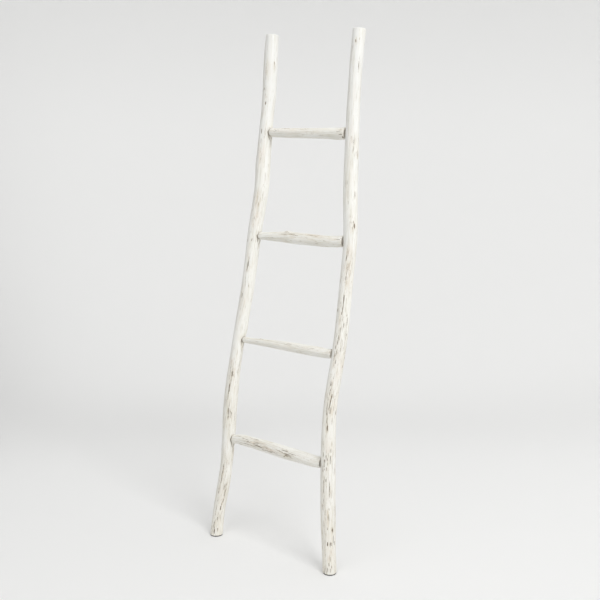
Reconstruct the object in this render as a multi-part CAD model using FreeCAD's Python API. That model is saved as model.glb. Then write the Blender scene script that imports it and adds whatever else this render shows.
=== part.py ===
import FreeCAD, Part
import math
import os

# Blanket ladder of peeled branches: two long rails that lean together towards the top, four
# rungs tenoned into them, a wooden cross peg through each tenon and a thin pad under each foot.
#
# Frame, millimetres: +Z up, +Y from the front of the ladder towards the wall that it leans on,
# +X along the rungs. The soles of the two pads lie in the plane z = 0, and the origin is in that
# plane, under the middle of the whole ladder's box.
#
# The rails and rungs are drawn on a leaning plane: v runs up along the ladder, n stands square to
# the plane and points to its rear, x runs across.

# ---------------------------------------------------------------- driving dimensions
LEAN_DEG = 8.459          # how far the ladder leans back from the vertical
RAIL_LENGTH = 1830.0      # along the rail
FOOT_SPREAD = 505.0       # between the rails' centre lines at the floor
TOP_SPREAD = 358.5        # between the rails' centre lines at the top
PAD_THICKNESS = 3.0
PAD_INSET = 0.87          # pad outline as a share of the foot's outline
END_EASE = 3.0            # rounding of the rails' sawn ends

TENON_D = 20.0
SOCKET_D = 20.2
SOCKET_PAST_CENTRE = 8.0  # how far a socket runs past the rail's centre line
TENON_PAST_CENTRE = 7.0
SHOULDER_GAP = 0.8        # between the rail's skin and the start of the rung's shoulder
SHOULDER_START_D = 21.0
SHOULDER_LENGTH = 13.0

PEG_D = 6.0
PEG_HOLE_D = 6.1
PEG_FROM_CENTRE = 5.0     # peg axis, from the rail's centre line towards the rung
PEG_PROUD = 0.8           # what stands out of the rail's rear side
PEG_PAST_AXIS = 16.0      # how far the peg runs in front of the rung's axis

# Each rail's wander: height up the rail, sideways shift, rearward shift, radius.
LEFT_RAIL = [
    (0.0, -2.4, 0.0, 23.8), (91.5, -6.8, 4.7, 21.9), (183.0, -0.6, 5.5, 23.4),
    (274.5, 3.5, 3.8, 22.9), (366.0, 1.0, 0.8, 24.5), (457.5, -3.9, -2.2, 25.9),
    (549.0, -6.4, -4.0, 25.0), (640.5, -6.2, -3.6, 22.8), (732.0, -3.2, -1.5, 22.4),
    (823.5, 1.6, 1.2, 23.4), (915.0, 5.7, 3.7, 23.5), (1006.5, 6.4, 5.6, 23.4),
    (1098.0, 5.5, 6.8, 24.0), (1189.5, 8.5, 7.2, 24.8), (1281.0, 13.9, 6.7, 25.4),
    (1372.5, 9.5, 5.4, 25.3), (1464.0, 5.7, 3.4, 23.8), (1555.5, 4.6, 1.1, 22.9),
    (1647.0, 1.6, -1.2, 24.3), (1738.5, -5.6, -3.3, 24.8), (1830.0, -10.7, -5.0, 21.8)]
RIGHT_RAIL = [
    (0.0, 9.2, 3.0, 24.4), (91.5, -0.4, 1.8, 24.0), (183.0, -7.3, -1.3, 26.0),
    (274.5, -12.1, -5.0, 25.9), (366.0, -15.6, -8.5, 25.4), (457.5, -18.9, -10.7, 24.5),
    (549.0, -20.3, -10.6, 23.0), (640.5, -13.1, -8.3, 23.0), (732.0, -4.2, -4.8, 22.5),
    (823.5, 1.0, -1.1, 22.6), (915.0, 3.6, 2.1, 22.6), (1006.5, 5.9, 4.2, 21.9),
    (1098.0, 10.9, 5.0, 22.6), (1189.5, 8.0, 4.2, 23.8), (1281.0, 2.3, 2.3, 24.4),
    (1372.5, 0.7, -0.2, 24.4), (1464.0, -0.5, -2.7, 23.7), (1555.5, -1.4, -4.5, 22.8),
    (1647.0, -1.6, -5.0, 22.4), (1738.5, -0.8, -3.7, 22.5), (1830.0, 0.9, 0.0, 22.9)]

# Knots that swell a rail: height, angle round it (0 = +X, 90 = rear), rise, half length, half
# width in degrees.
LEFT_KNOTS = [(772.0, 25.0, 2.6, 34.0, 42.0), (1372.0, 205.0, 1.6, 30.0, 45.0),
              (1612.0, 20.0, 1.5, 26.0, 40.0), (300.0, 120.0, 2.2, 30.0, 40.0),
              (1090.0, 95.0, 2.0, 28.0, 38.0)]
RIGHT_KNOTS = [(1175.0, -35.0, 2.4, 26.0, 36.0), (1410.0, -20.0, 1.8, 26.0, 36.0),
               (150.0, -50.0, 1.6, 24.0, 34.0), (640.0, 100.0, 2.4, 32.0, 40.0),
               (1560.0, 150.0, 2.0, 26.0, 36.0)]

# Rungs, lowest first: height on the left rail and on the right rail, then stations along the
# rung: share of the way from the left rail's centre line to the right one's, shift up the
# ladder, shift rearward, radius.
RUNGS = [
    (368.0, 367.0, [(0.00, 0.0, 0.0, 16.0), (0.07, 3.0, 0.5, 16.4), (0.16, 5.4, 1.0, 19.6),
                    (0.24, 5.0, 1.6, 20.2), (0.32, 4.2, 2.0, 21.0), (0.41, 3.0, 2.0, 21.6),
                    (0.49, 1.8, 1.6, 22.2), (0.57, 0.8, 1.0, 22.4), (0.65, 0.4, 0.2, 22.0),
                    (0.72, 0.0, -0.4, 21.6), (0.80, -0.7, -0.8, 21.0), (0.88, -1.6, -0.6, 19.8),
                    (0.94, -1.0, -0.3, 19.2), (1.00, 0.0, 0.0, 19.0)]),
    (736.0, 741.0, [(0.00, 0.0, 0.0, 10.8), (0.10, -0.5, 0.0, 10.9), (0.18, -0.2, -0.5, 11.1),
                    (0.27, 0.7, -1.0, 12.5), (0.35, 0.9, -1.6, 13.6), (0.43, 0.9, -2.0, 14.9),
                    (0.51, 0.8, -2.0, 15.9), (0.59, 0.4, -1.6, 16.8), (0.67, -0.2, -1.0, 17.4),
                    (0.75, -0.5, -0.6, 17.7), (0.83, -1.0, -0.3, 17.6), (0.90, -1.6, -0.1, 16.8),
                    (1.00, 0.0, 0.0, 16.4)]),
    (1116.0, 1122.0, [(0.00, 0.0, 0.0, 12.4), (0.095, 0.6, 0.3, 13.4), (0.18, 0.7, 0.8, 15.7),
                      (0.27, 1.4, 1.4, 18.0), (0.36, 1.6, 2.0, 20.3), (0.44, 0.4, 2.2, 21.0),
                      (0.53, -0.8, 2.0, 21.0), (0.61, -1.9, 1.6, 20.9), (0.69, -2.7, 1.0, 20.6),
                      (0.77, -3.2, 0.4, 20.3), (0.85, -2.8, 0.1, 20.1), (0.92, -1.4, 0.0, 19.8),
                      (1.00, 0.0, 0.0, 19.4)]),
    (1487.0, 1483.0, [(0.00, 0.0, 0.0, 15.6), (0.11, -0.8, -0.3, 16.2), (0.21, -0.9, -0.8, 17.2),
                      (0.31, -1.3, -1.2, 17.7), (0.40, -1.2, -1.4, 17.8), (0.49, -1.2, -1.4, 17.9),
                      (0.59, -1.2, -1.0, 17.9), (0.68, -1.1, -0.6, 18.2), (0.77, -1.4, -0.2, 19.0),
                      (0.85, -1.8, 0.0, 19.9), (0.92, -1.0, 0.0, 19.8), (1.00, 0.0, 0.0, 19.2)])]
# Knots on the rungs: rung, share of its length, angle (0 = rear, 90 = up the ladder), rise, half
# length, half width in degrees.
RUNG_KNOTS = [(0, 0.62, 200.0, 1.4, 24.0, 40.0), (1, 0.24, 110.0, 1.5, 9.0, 32.0),
              (2, 0.36, 100.0, 2.2, 16.0, 40.0), (3, 0.74, 60.0, 1.2, 18.0, 40.0)]

SECTION_STEP = 30.5       # between the rails' cross sections
SECTION_POINTS = 14

# ---------------------------------------------------------------- helpers
LEAN = math.radians(LEAN_DEG)
V = FreeCAD.Vector
AX_X = V(1, 0, 0)
AX_V = V(0, math.sin(LEAN), math.cos(LEAN))
AX_N = V(0, math.cos(LEAN), -math.sin(LEAN))


def spline_table(rows, column):
    """Natural cubic spline through one column of a table of stations."""
    xs = [r[0] for r in rows]
    ys = [r[column] for r in rows]
    n = len(xs)
    h = [xs[i + 1] - xs[i] for i in range(n - 1)]
    a = [0.0] * n
    b = [1.0] * n
    c = [0.0] * n
    d = [0.0] * n
    for i in range(1, n - 1):
        a[i] = h[i - 1]
        b[i] = 2 * (h[i - 1] + h[i])
        c[i] = h[i]
        d[i] = 6 * ((ys[i + 1] - ys[i]) / h[i] - (ys[i] - ys[i - 1]) / h[i - 1])
    for i in range(1, n):
        w = a[i] / b[i - 1]
        b[i] -= w * c[i - 1]
        d[i] -= w * d[i - 1]
    m = [0.0] * n
    m[-1] = d[-1] / b[-1]
    for i in range(n - 2, -1, -1):
        m[i] = (d[i] - c[i] * m[i + 1]) / b[i]
    m[0] = 0.0
    m[-1] = 0.0

    def value(x):
        if x <= xs[0]:
            s = (ys[1] - ys[0]) / h[0] - h[0] * (2 * m[0] + m[1]) / 6
            return ys[0] + s * (x - xs[0])
        if x >= xs[-1]:
            return ys[-1]
        i = 0
        while x > xs[i + 1]:
            i += 1
        t0 = xs[i + 1] - x
        t1 = x - xs[i]
        return (m[i] * t0 ** 3 + m[i + 1] * t1 ** 3) / (6 * h[i]) \
            + (ys[i] / h[i] - m[i] * h[i] / 6) * t0 \
            + (ys[i + 1] / h[i] - m[i + 1] * h[i] / 6) * t1
    return value


def wrap(a):
    return (a + math.pi) % (2 * math.pi) - math.pi


class Rail:
    def __init__(self, side, rows, knots, seed):
        self.side = side
        self.seed = seed
        self.knots = knots
        self.fx = spline_table(rows, 1)
        self.fn = spline_table(rows, 2)
        self.fr = spline_table(rows, 3)

    def centre(self, v):
        half = 0.5 * (FOOT_SPREAD + (TOP_SPREAD - FOOT_SPREAD) * v / RAIL_LENGTH)
        return AX_X * (self.side * half + self.fx(v)) + AX_V * v + AX_N * self.fn(v)

    def radius(self, v, ang):
        r = self.fr(v)
        s = self.seed
        r *= 1 + 0.024 * math.cos(2 * ang + s + v / 310.0) + 0.013 * math.cos(3 * ang - 2 * s - v / 230.0)
        for kv, ka, rise, hl, hw in self.knots:
            da = wrap(ang - math.radians(ka)) / math.radians(hw)
            r += rise * math.exp(-((v - kv) / hl) ** 2 - da * da)
        return r

    def point(self, v, ang, scale=1.0):
        r = self.radius(v, ang) * scale
        return self.centre(v) + AX_X * (r * math.cos(ang)) + AX_N * (r * math.sin(ang))


def ring(points):
    c = Part.BSplineCurve()
    n = len(points)
    c.interpolate(Points=points, PeriodicFlag=True, Parameters=[i / n for i in range(n + 1)])
    return Part.Wire([c.toShape()])


def angles(count):
    return [2 * math.pi * i / count for i in range(count)]


def solid_of(shape):
    s = shape.Solids
    assert len(s) == 1, "expected one solid, got %d" % len(s)
    assert s[0].isValid()
    return s[0]


def ease(shape, keep, radius):
    """Round the sawn edges that keep(edge) picks, or chamfer them."""
    for size in (radius, radius * 0.8, radius * 0.6):
        picked = [e for e in shape.Edges if keep(e)]
        for how in ("makeFillet", "makeChamfer"):
            try:
                out = getattr(shape, how)(size, picked)
                if out.isValid() and len(out.Solids) == 1 and out.Volume > 0.97 * shape.Volume:
                    return out.Solids[0]
            except Exception:
                pass
    return shape


# ---------------------------------------------------------------- rails
left = Rail(-1, LEFT_RAIL, LEFT_KNOTS, 0.6)
right = Rail(1, RIGHT_RAIL, RIGHT_KNOTS, 2.3)


def rail_blank(rail):
    count = int(round(RAIL_LENGTH / SECTION_STEP))
    vs = [-SECTION_STEP * 0.5] + [RAIL_LENGTH * i / count for i in range(count + 1)]
    wires = [ring([rail.point(v, a) for a in angles(SECTION_POINTS)]) for v in vs]
    body = Part.makeLoft(wires, True, False)
    body = solid_of(body)
    under = Part.makeBox(600, 600, 200, V(rail.centre(0).x - 300, -300, PAD_THICKNESS - 200))
    body = solid_of(body.cut(under))

    def sawn(e):
        b = e.BoundBox
        low = b.ZMax < PAD_THICKNESS + 0.01
        top = all((p - AX_V * RAIL_LENGTH).dot(AX_V) > -0.01 for p in e.discretize(9))
        return (low or top) and e.Length > 60
    return ease(body, sawn, END_EASE)


class Rung:
    def __init__(self, number, spec):
        vl, vr, rows = spec
        self.a = left.centre(vl)
        self.b = right.centre(vr)
        self.dir = (self.b - self.a).normalize()
        self.length = (self.b - self.a).Length
        self.up = (AX_V - self.dir * AX_V.dot(self.dir)).normalize()
        self.rear = self.dir.cross(self.up) * -1.0
        if self.rear.dot(AX_N) < 0:
            self.rear = self.rear * -1.0
        self.vl, self.vr = vl, vr
        self.knots = [k for k in RUNG_KNOTS if k[0] == number]
        self.seed = 1.7 * number + 0.4
        self.fu = spline_table(rows, 1)
        self.fn = spline_table(rows, 2)
        self.fr = spline_table(rows, 3)
        # where each rail's skin is, along the rung
        self.s0 = self.skin(left, self.a, vl, 0.0, 1.0) + SHOULDER_GAP
        self.s1 = self.length - self.skin(right, self.b, vr, math.pi, -1.0) - SHOULDER_GAP

    def skin(self, rail, at, v, ang, sign):
        """How far a rail's skin reaches along the rung, round the mouth of the socket."""
        far = 0.0
        for i in range(-6, 7):
            for j in range(-6, 7):
                p = rail.point(v + 2.0 * i, ang + math.radians(5.0 * j)) - at
                along = p.dot(self.dir) * sign
                if (p - self.dir * (along * sign)).Length < SHOULDER_START_D / 2 + 1.0:
                    far = max(far, along)
        return far

    def radius(self, s, ang):
        t = s / self.length
        r = self.fr(t)
        r *= 1 + 0.022 * math.cos(2 * ang + self.seed + s / 120.0) + 0.012 * math.cos(3 * ang + self.seed * 2)
        for _, kt, ka, rise, hl, hw in self.knots:
            da = wrap(ang - math.radians(ka)) / math.radians(hw)
            r += rise * math.exp(-((s - kt * self.length) / hl) ** 2 - da * da)
        return r

    def fade(self, s):
        """The wander dies out towards the tenons, so that they stay on one axis."""
        d = max(0.0, min(1.0, min(s - self.s0, self.s1 - s) / 30.0))
        return d * d * (3 - 2 * d)

    def centre(self, s):
        t = s / self.length
        f = self.fade(s)
        return self.a + self.dir * s + self.up * (self.fu(t) * f) + self.rear * (self.fn(t) * f)

    def point(self, s, ang):
        r = self.radius(s, ang)
        return self.centre(s) + self.rear * (r * math.cos(ang)) + self.up * (r * math.sin(ang))


def shoulder_spindle(rung):
    """Turned outline that rounds a rung's two shoulders and is clear of it between them."""
    def at(s, r):
        return rung.a + rung.dir * s + rung.up * r

    r0 = SHOULDER_START_D / 2
    clear = 40.0
    edges = []
    corners = []
    for s_end, sign in ((rung.s0, 1), (rung.s1, -1)):
        sm = s_end + sign * SHOULDER_LENGTH
        rn = max(rung.radius(sm, a) for a in angles(24)) + 0.3
        h = rn - r0
        rho = (SHOULDER_LENGTH ** 2 + h * h) / (2 * h)
        half = math.asin(SHOULDER_LENGTH / rho) / 2
        mid = (sm - sign * rho * math.sin(half), rn - rho + rho * math.cos(half))
        corners.append((at(s_end, 0), at(s_end, r0), at(*mid), at(sm, rn), at(sm + sign * 3, clear)))
    (a0, a1, a2, a3, a4), (b0, b1, b2, b3, b4) = corners
    edges = [Part.LineSegment(a0, a1).toShape(), Part.Arc(a1, a2, a3).toShape(),
             Part.LineSegment(a3, a4).toShape(), Part.LineSegment(a4, b4).toShape(),
             Part.LineSegment(b4, b3).toShape(), Part.Arc(b3, b2, b1).toShape(),
             Part.LineSegment(b1, b0).toShape(), Part.LineSegment(b0, a0).toShape()]
    face = Part.Face(Part.Wire(edges))
    return solid_of(face.revolve(rung.a, rung.dir, 360))


def rung_body(rung):
    lo = rung.s0 - 4.0
    hi = rung.s1 + 4.0
    count = int(round((hi - lo) / 16.0))
    ss = [lo + (hi - lo) * i / count for i in range(count + 1)]
    wires = [ring([rung.point(s, a) for a in angles(12)]) for s in ss]
    body = solid_of(Part.makeLoft(wires, True, False))
    body = solid_of(body.common(shoulder_spindle(rung)))
    tenon = Part.makeCylinder(TENON_D / 2, rung.length + 2 * TENON_PAST_CENTRE,
                              rung.a - rung.dir * TENON_PAST_CENTRE, rung.dir)
    tenon = ease(tenon, lambda e: abs(e.Length - math.pi * TENON_D) < 0.5, 1.2)
    return solid_of(body.fuse(tenon))


def socket_tools(rung):
    """The two blind sockets of a rung, one in each rail."""
    reach = 60.0
    a = Part.makeCylinder(SOCKET_D / 2, SOCKET_PAST_CENTRE + reach,
                          rung.a - rung.dir * SOCKET_PAST_CENTRE, rung.dir)
    b = Part.makeCylinder(SOCKET_D / 2, SOCKET_PAST_CENTRE + reach,
                          rung.b + rung.dir * SOCKET_PAST_CENTRE, rung.dir * -1.0)
    return a, b


def peg_places(rung):
    """Axis point, and the distance to the rail's rear skin, for the rung's two pegs."""
    out = []
    for rail, at, sign, v in ((left, rung.a, 1, rung.vl), (right, rung.b, -1, rung.vr)):
        p = at + rung.dir * (sign * PEG_FROM_CENTRE)
        ang = math.pi / 2 - sign * math.asin(PEG_FROM_CENTRE / rail.radius(v, math.pi / 2))
        skin = rail.radius(v, ang) * math.sin(ang)
        out.append((p, skin))
    return out


def peg_solid(p, skin):
    length = PEG_PAST_AXIS + skin + PEG_PROUD
    peg = Part.makeCylinder(PEG_D / 2, length, p - AX_N * PEG_PAST_AXIS, AX_N)
    return ease(peg, lambda e: abs(e.Length - math.pi * PEG_D) < 0.2, 0.7)


def peg_hole(p, skin):
    return Part.makeCylinder(PEG_HOLE_D / 2, PEG_PAST_AXIS + 0.5 + skin + 30.0,
                             p - AX_N * (PEG_PAST_AXIS + 0.5), AX_N)


def foot_pad(rail):
    """Pad under a foot: the sawn foot's outline, drawn in, down to the floor."""
    pts = []
    for a in angles(SECTION_POINTS):
        # the rail's skin where it crosses the saw cut
        v = 0.0
        for _ in range(6):
            p = rail.point(v, a)
            v += (PAD_THICKNESS - p.z) / AX_V.z
        pts.append(rail.point(v, a))
    mid = V(sum(p.x for p in pts) / len(pts), sum(p.y for p in pts) / len(pts), 0)
    flat = [V(mid.x + (p.x - mid.x) * PAD_INSET, mid.y + (p.y - mid.y) * PAD_INSET, 0) for p in pts]
    face = Part.Face(ring(flat))
    pad = solid_of(face.extrude(V(0, 0, PAD_THICKNESS)))
    return pad


# ---------------------------------------------------------------- build
rungs = [Rung(i, spec) for i, spec in enumerate(RUNGS)]
rail_l = rail_blank(left)
rail_r = rail_blank(right)
nodes = {}
pegs = []
for i, rung in enumerate(rungs):
    body = rung_body(rung)
    sa, sb = socket_tools(rung)
    rail_l = rail_l.cut(sa)
    rail_r = rail_r.cut(sb)
    (pl, kl), (pr, kr) = peg_places(rung)
    rail_l = rail_l.cut(peg_hole(pl, kl))
    rail_r = rail_r.cut(peg_hole(pr, kr))
    for p, k in ((pl, kl), (pr, kr)):
        body = body.cut(peg_hole(p, k))
        pegs.append(peg_solid(p, k))
    nodes["rung_%d" % (i + 1)] = solid_of(body)
nodes["left_rail"] = solid_of(rail_l)
nodes["right_rail"] = solid_of(rail_r)
nodes["left_foot_pad"] = foot_pad(left)
nodes["right_foot_pad"] = foot_pad(right)
nodes["rung_pegs"] = Part.makeCompound(pegs)

# The origin goes under the middle of the whole ladder's box.
whole = FreeCAD.BoundBox()
for s in nodes.values():
    whole.add(s.optimalBoundingBox(True, False))
shift = V(-(whole.XMin + whole.XMax) / 2, -(whole.YMin + whole.YMax) / 2, 0)
print("shift %.3f %.3f" % (shift.x, shift.y))
print("box %.2f %.2f %.2f" % (whole.XLength, whole.YLength, whole.ZLength))

os.makedirs("parts", exist_ok=True)
for name in sorted(nodes):
    s = nodes[name].copy()
    s.translate(shift)
    s.exportStep("parts/%s.step" % name)
    b = s.optimalBoundingBox(True, False)
    print("%-16s solids %d volume %10.0f  x %.1f..%.1f y %.1f..%.1f z %.2f..%.1f" % (
        name, len(s.Solids), s.Volume, b.XMin, b.XMax, b.YMin, b.YMax, b.ZMin, b.ZMax))
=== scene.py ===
import math

import bpy
import numpy as np
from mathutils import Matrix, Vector


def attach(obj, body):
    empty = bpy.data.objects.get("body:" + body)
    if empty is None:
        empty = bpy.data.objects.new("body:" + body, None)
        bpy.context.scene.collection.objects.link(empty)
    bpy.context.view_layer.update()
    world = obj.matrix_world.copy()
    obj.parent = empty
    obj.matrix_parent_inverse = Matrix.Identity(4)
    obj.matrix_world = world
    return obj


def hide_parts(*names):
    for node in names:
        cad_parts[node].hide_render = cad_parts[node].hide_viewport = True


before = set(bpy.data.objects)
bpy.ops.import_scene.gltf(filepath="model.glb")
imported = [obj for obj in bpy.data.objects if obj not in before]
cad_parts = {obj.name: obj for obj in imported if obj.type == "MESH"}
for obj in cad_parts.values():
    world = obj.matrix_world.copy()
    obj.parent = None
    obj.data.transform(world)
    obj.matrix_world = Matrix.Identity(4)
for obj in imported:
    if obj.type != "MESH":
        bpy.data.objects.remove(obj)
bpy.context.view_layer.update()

# Blanket ladder of peeled branches under a chalky whitewash. Lengths in this script are in
# millimetres until a mesh is made. The rails and rungs follow the same stations as the
# construction, with a finer skin: whittled facets, grain, cracks, knots, sawn ends.

# ------------------------------------------------------------------ stations, as built
LEAN = math.radians(8.459)
RAIL_LENGTH = 1830.0
FOOT_SPREAD = 505.0
TOP_SPREAD = 358.5
PAD_THICKNESS = 3.0
PAD_SHOWN = 0.935
SHIFT = np.array([-2.738, -134.445, 0.0])
TENON_R = 10.0
SOCKET_R = 10.1
SOCKET_PAST_CENTRE = 8.0
TENON_PAST_CENTRE = 7.0
SHOULDER_GAP = 0.8
SHOULDER_R0 = 10.5
SHOULDER_LENGTH = 7.5     # the knife left the shoulders blunt
SHOULDER_START_R = 12.6
PEG_R = 3.0
PEG_HOLE_R = 3.05
PEG_FROM_CENTRE = 5.0
PEG_PROUD = 0.8
PEG_PAST_AXIS = 16.0

LEFT_RAIL = [
    (0.0, -2.4, 0.0, 23.8), (91.5, -6.8, 4.7, 21.9), (183.0, -0.6, 5.5, 23.4),
    (274.5, 3.5, 3.8, 22.9), (366.0, 1.0, 0.8, 24.5), (457.5, -3.9, -2.2, 25.9),
    (549.0, -6.4, -4.0, 25.0), (640.5, -6.2, -3.6, 22.8), (732.0, -3.2, -1.5, 22.4),
    (823.5, 1.6, 1.2, 23.4), (915.0, 5.7, 3.7, 23.5), (1006.5, 6.4, 5.6, 23.4),
    (1098.0, 5.5, 6.8, 24.0), (1189.5, 8.5, 7.2, 24.8), (1281.0, 13.9, 6.7, 25.4),
    (1372.5, 9.5, 5.4, 25.3), (1464.0, 5.7, 3.4, 23.8), (1555.5, 4.6, 1.1, 22.9),
    (1647.0, 1.6, -1.2, 24.3), (1738.5, -5.6, -3.3, 24.8), (1830.0, -10.7, -5.0, 21.8)]
RIGHT_RAIL = [
    (0.0, 9.2, 3.0, 24.4), (91.5, -0.4, 1.8, 24.0), (183.0, -7.3, -1.3, 26.0),
    (274.5, -12.1, -5.0, 25.9), (366.0, -15.6, -8.5, 25.4), (457.5, -18.9, -10.7, 24.5),
    (549.0, -20.3, -10.6, 23.0), (640.5, -13.1, -8.3, 23.0), (732.0, -4.2, -4.8, 22.5),
    (823.5, 1.0, -1.1, 22.6), (915.0, 3.6, 2.1, 22.6), (1006.5, 5.9, 4.2, 21.9),
    (1098.0, 10.9, 5.0, 22.6), (1189.5, 8.0, 4.2, 23.8), (1281.0, 2.3, 2.3, 24.4),
    (1372.5, 0.7, -0.2, 24.4), (1464.0, -0.5, -2.7, 23.7), (1555.5, -1.4, -4.5, 22.8),
    (1647.0, -1.6, -5.0, 22.4), (1738.5, -0.8, -3.7, 22.5), (1830.0, 0.9, 0.0, 22.9)]
LEFT_KNOTS = [(772.0, 25.0, 2.6, 34.0, 42.0), (1372.0, 205.0, 1.6, 30.0, 45.0),
              (1612.0, 20.0, 1.5, 26.0, 40.0), (300.0, 120.0, 2.2, 30.0, 40.0),
              (1090.0, 95.0, 2.0, 28.0, 38.0)]
RIGHT_KNOTS = [(1175.0, -35.0, 2.4, 26.0, 36.0), (1410.0, -20.0, 1.8, 26.0, 36.0),
               (150.0, -50.0, 1.6, 24.0, 34.0), (640.0, 100.0, 2.4, 32.0, 40.0),
               (1560.0, 150.0, 2.0, 26.0, 36.0)]
RUNGS = [
    (368.0, 367.0, [(0.00, 0.0, 0.0, 16.0), (0.07, 3.0, 0.5, 16.4), (0.16, 5.4, 1.0, 19.6),
                    (0.24, 5.0, 1.6, 20.2), (0.32, 4.2, 2.0, 21.0), (0.41, 3.0, 2.0, 21.6),
                    (0.49, 1.8, 1.6, 22.2), (0.57, 0.8, 1.0, 22.4), (0.65, 0.4, 0.2, 22.0),
                    (0.72, 0.0, -0.4, 21.6), (0.80, -0.7, -0.8, 21.0), (0.88, -1.6, -0.6, 19.8),
                    (0.94, -1.0, -0.3, 19.2), (1.00, 0.0, 0.0, 19.0)]),
    (736.0, 741.0, [(0.00, 0.0, 0.0, 10.8), (0.10, -0.5, 0.0, 10.9), (0.18, -0.2, -0.5, 11.1),
                    (0.27, 0.7, -1.0, 12.5), (0.35, 0.9, -1.6, 13.6), (0.43, 0.9, -2.0, 14.9),
                    (0.51, 0.8, -2.0, 15.9), (0.59, 0.4, -1.6, 16.8), (0.67, -0.2, -1.0, 17.4),
                    (0.75, -0.5, -0.6, 17.7), (0.83, -1.0, -0.3, 17.6), (0.90, -1.6, -0.1, 16.8),
                    (1.00, 0.0, 0.0, 16.4)]),
    (1116.0, 1122.0, [(0.00, 0.0, 0.0, 12.4), (0.095, 0.6, 0.3, 13.4), (0.18, 0.7, 0.8, 15.7),
                      (0.27, 1.4, 1.4, 18.0), (0.36, 1.6, 2.0, 20.3), (0.44, 0.4, 2.2, 21.0),
                      (0.53, -0.8, 2.0, 21.0), (0.61, -1.9, 1.6, 20.9), (0.69, -2.7, 1.0, 20.6),
                      (0.77, -3.2, 0.4, 20.3), (0.85, -2.8, 0.1, 20.1), (0.92, -1.4, 0.0, 19.8),
                      (1.00, 0.0, 0.0, 19.4)]),
    (1487.0, 1483.0, [(0.00, 0.0, 0.0, 15.6), (0.11, -0.8, -0.3, 16.2), (0.21, -0.9, -0.8, 17.2),
                      (0.31, -1.3, -1.2, 17.7), (0.40, -1.2, -1.4, 17.8), (0.49, -1.2, -1.4, 17.9),
                      (0.59, -1.2, -1.0, 17.9), (0.68, -1.1, -0.6, 18.2), (0.77, -1.4, -0.2, 19.0),
                      (0.85, -1.8, 0.0, 19.9), (0.92, -1.0, 0.0, 19.8), (1.00, 0.0, 0.0, 19.2)])]
RUNG_KNOTS = [(0, 0.62, 200.0, 1.4, 24.0, 40.0), (1, 0.24, 110.0, 1.5, 9.0, 32.0),
              (2, 0.36, 100.0, 2.2, 16.0, 40.0), (3, 0.74, 60.0, 1.2, 18.0, 40.0)]

# ------------------------------------------------------------------ marks on the skin
# Angles round a branch are in degrees. On a rail 0 is +X and 90 the rear, so that the side shown
# in the photograph's middle is near -52. On a rung 0 is the rear and 90 the upper side.
# A flaw is (place along, angle, length, width, darkness, slant in mm across per 100 mm along).
LEFT_FLAWS = [
    (575, -78, 30, 2.4, .6, 3), (590, -68, 26, 2.2, .6, 0), (604, -50, 22, 2.2, .55, 4),
    (622, -62, 26, 2.4, .6, -4), (636, -76, 26, 2.4, .6, 0), (600, -38, 18, 2.2, .5, 5),
    (640, -48, 22, 2.2, .5, 0),
    (8, -70, 16, 3.4, .85, 0), (15, -44, 14, 3.4, .85, 0), (35, -82, 24, 3.4, .85, 3),
    (88, -82, 44, 2.8, .75, 3), (66, -30, 16, 2.6, .55, 0), (80, -20, 12, 2.6, .5, 0),
    (98, -41, 14, 6.0, 1.0, 0), (126, -27, 13, 4.6, .85, 8), (146, -58, 18, 2.6, .5, 4),
    (74, -52, 30, 2.2, .5, 6), (118, -72, 40, 2.4, .5, 4),
    (14, -77, 26, 4.0, .75, 0), (40, -74, 30, 3.0, .6, 4), (57, -56, 12, 5.0, .85, 0),
    (75, -60, 22, 2.4, .45, 5), (165, -84, 26, 3.0, .85, 4), (205, -80, 24, 3.4, .9, 2),
    (236, -78, 60, 3.0, .9, 2), (158, -26, 26, 3.4, .9, 4), (181, -42, 24, 3.2, .85, 8),
    (190, -25, 22, 2.8, .75, 4), (222, -46, 40, 3.0, .6, 6), (271, -29, 10, 3.0, .55, 0),
    (291, -76, 14, 3.0, .5, 0), (316, -70, 30, 2.0, .3, 0), (446, -62, 20, 3.0, .9, 3),
    (452, -40, 26, 2.6, .8, 3), (465, -61, 24, 3.4, .95, 0), (495, -61, 34, 2.8, .7, -2),
    (540, -74, 58, 3.6, .95, 3), (562, -79, 24, 2.4, .6, 2), (584, -66, 34, 2.8, .75, -4),
    (588, -84, 28, 2.6, .7, -4), (606, -62, 18, 4.2, .95, 0), (626, -84, 52, 2.6, .6, -3),
    (596, -41, 12, 2.8, .4, 0), (618, 14, 22, 2.4, .35, 0), (650, -92, 20, 3.4, .7, 0),
    (826, 10, 20, 3.6, .35, -3), (896, -93, 16, 4.0, .85, 0), (880, -80, 30, 2.6, .4, 4),
    (1010, -79, 54, 3.2, .75, 0), (1008, -76, 12, 4.4, .8, 0), (1022, -43, 34, 2.4, .35, 0),
    (1100, -70, 12, 4.2, .75, 0), (1170, -72, 40, 2.4, .5, -10), (1196, -58, 34, 2.8, .55, -12),
    (1208, -36, 16, 2.2, .5, -20), (1214, -24, 14, 2.0, .4, -20), (1240, -72, 44, 2.2, .28, 3),
    (1298, -40, 10, 3.4, .35, 0), (1362, -46, 16, 2.2, .3, 0), (1392, -76, 12, 3.6, .6, 0),
    (1420, -84, 40, 2.4, .35, 0), (1490, -90, 16, 4.0, .6, 0), (1590, -76, 11, 5.0, .85, 0),
    (1622, -84, 34, 2.6, .45, 3), (1618, -20, 12, 2.6, .3, 0), (1645, -88, 20, 3.0, .5, 0),
    (1712, -90, 34, 2.6, .5, 3), (1718, -14, 9, 4.0, .6, 0), (1733, -22, 12, 4.4, .65, 0),
    (1782, -90, 26, 3.0, .45, 0)]
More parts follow.
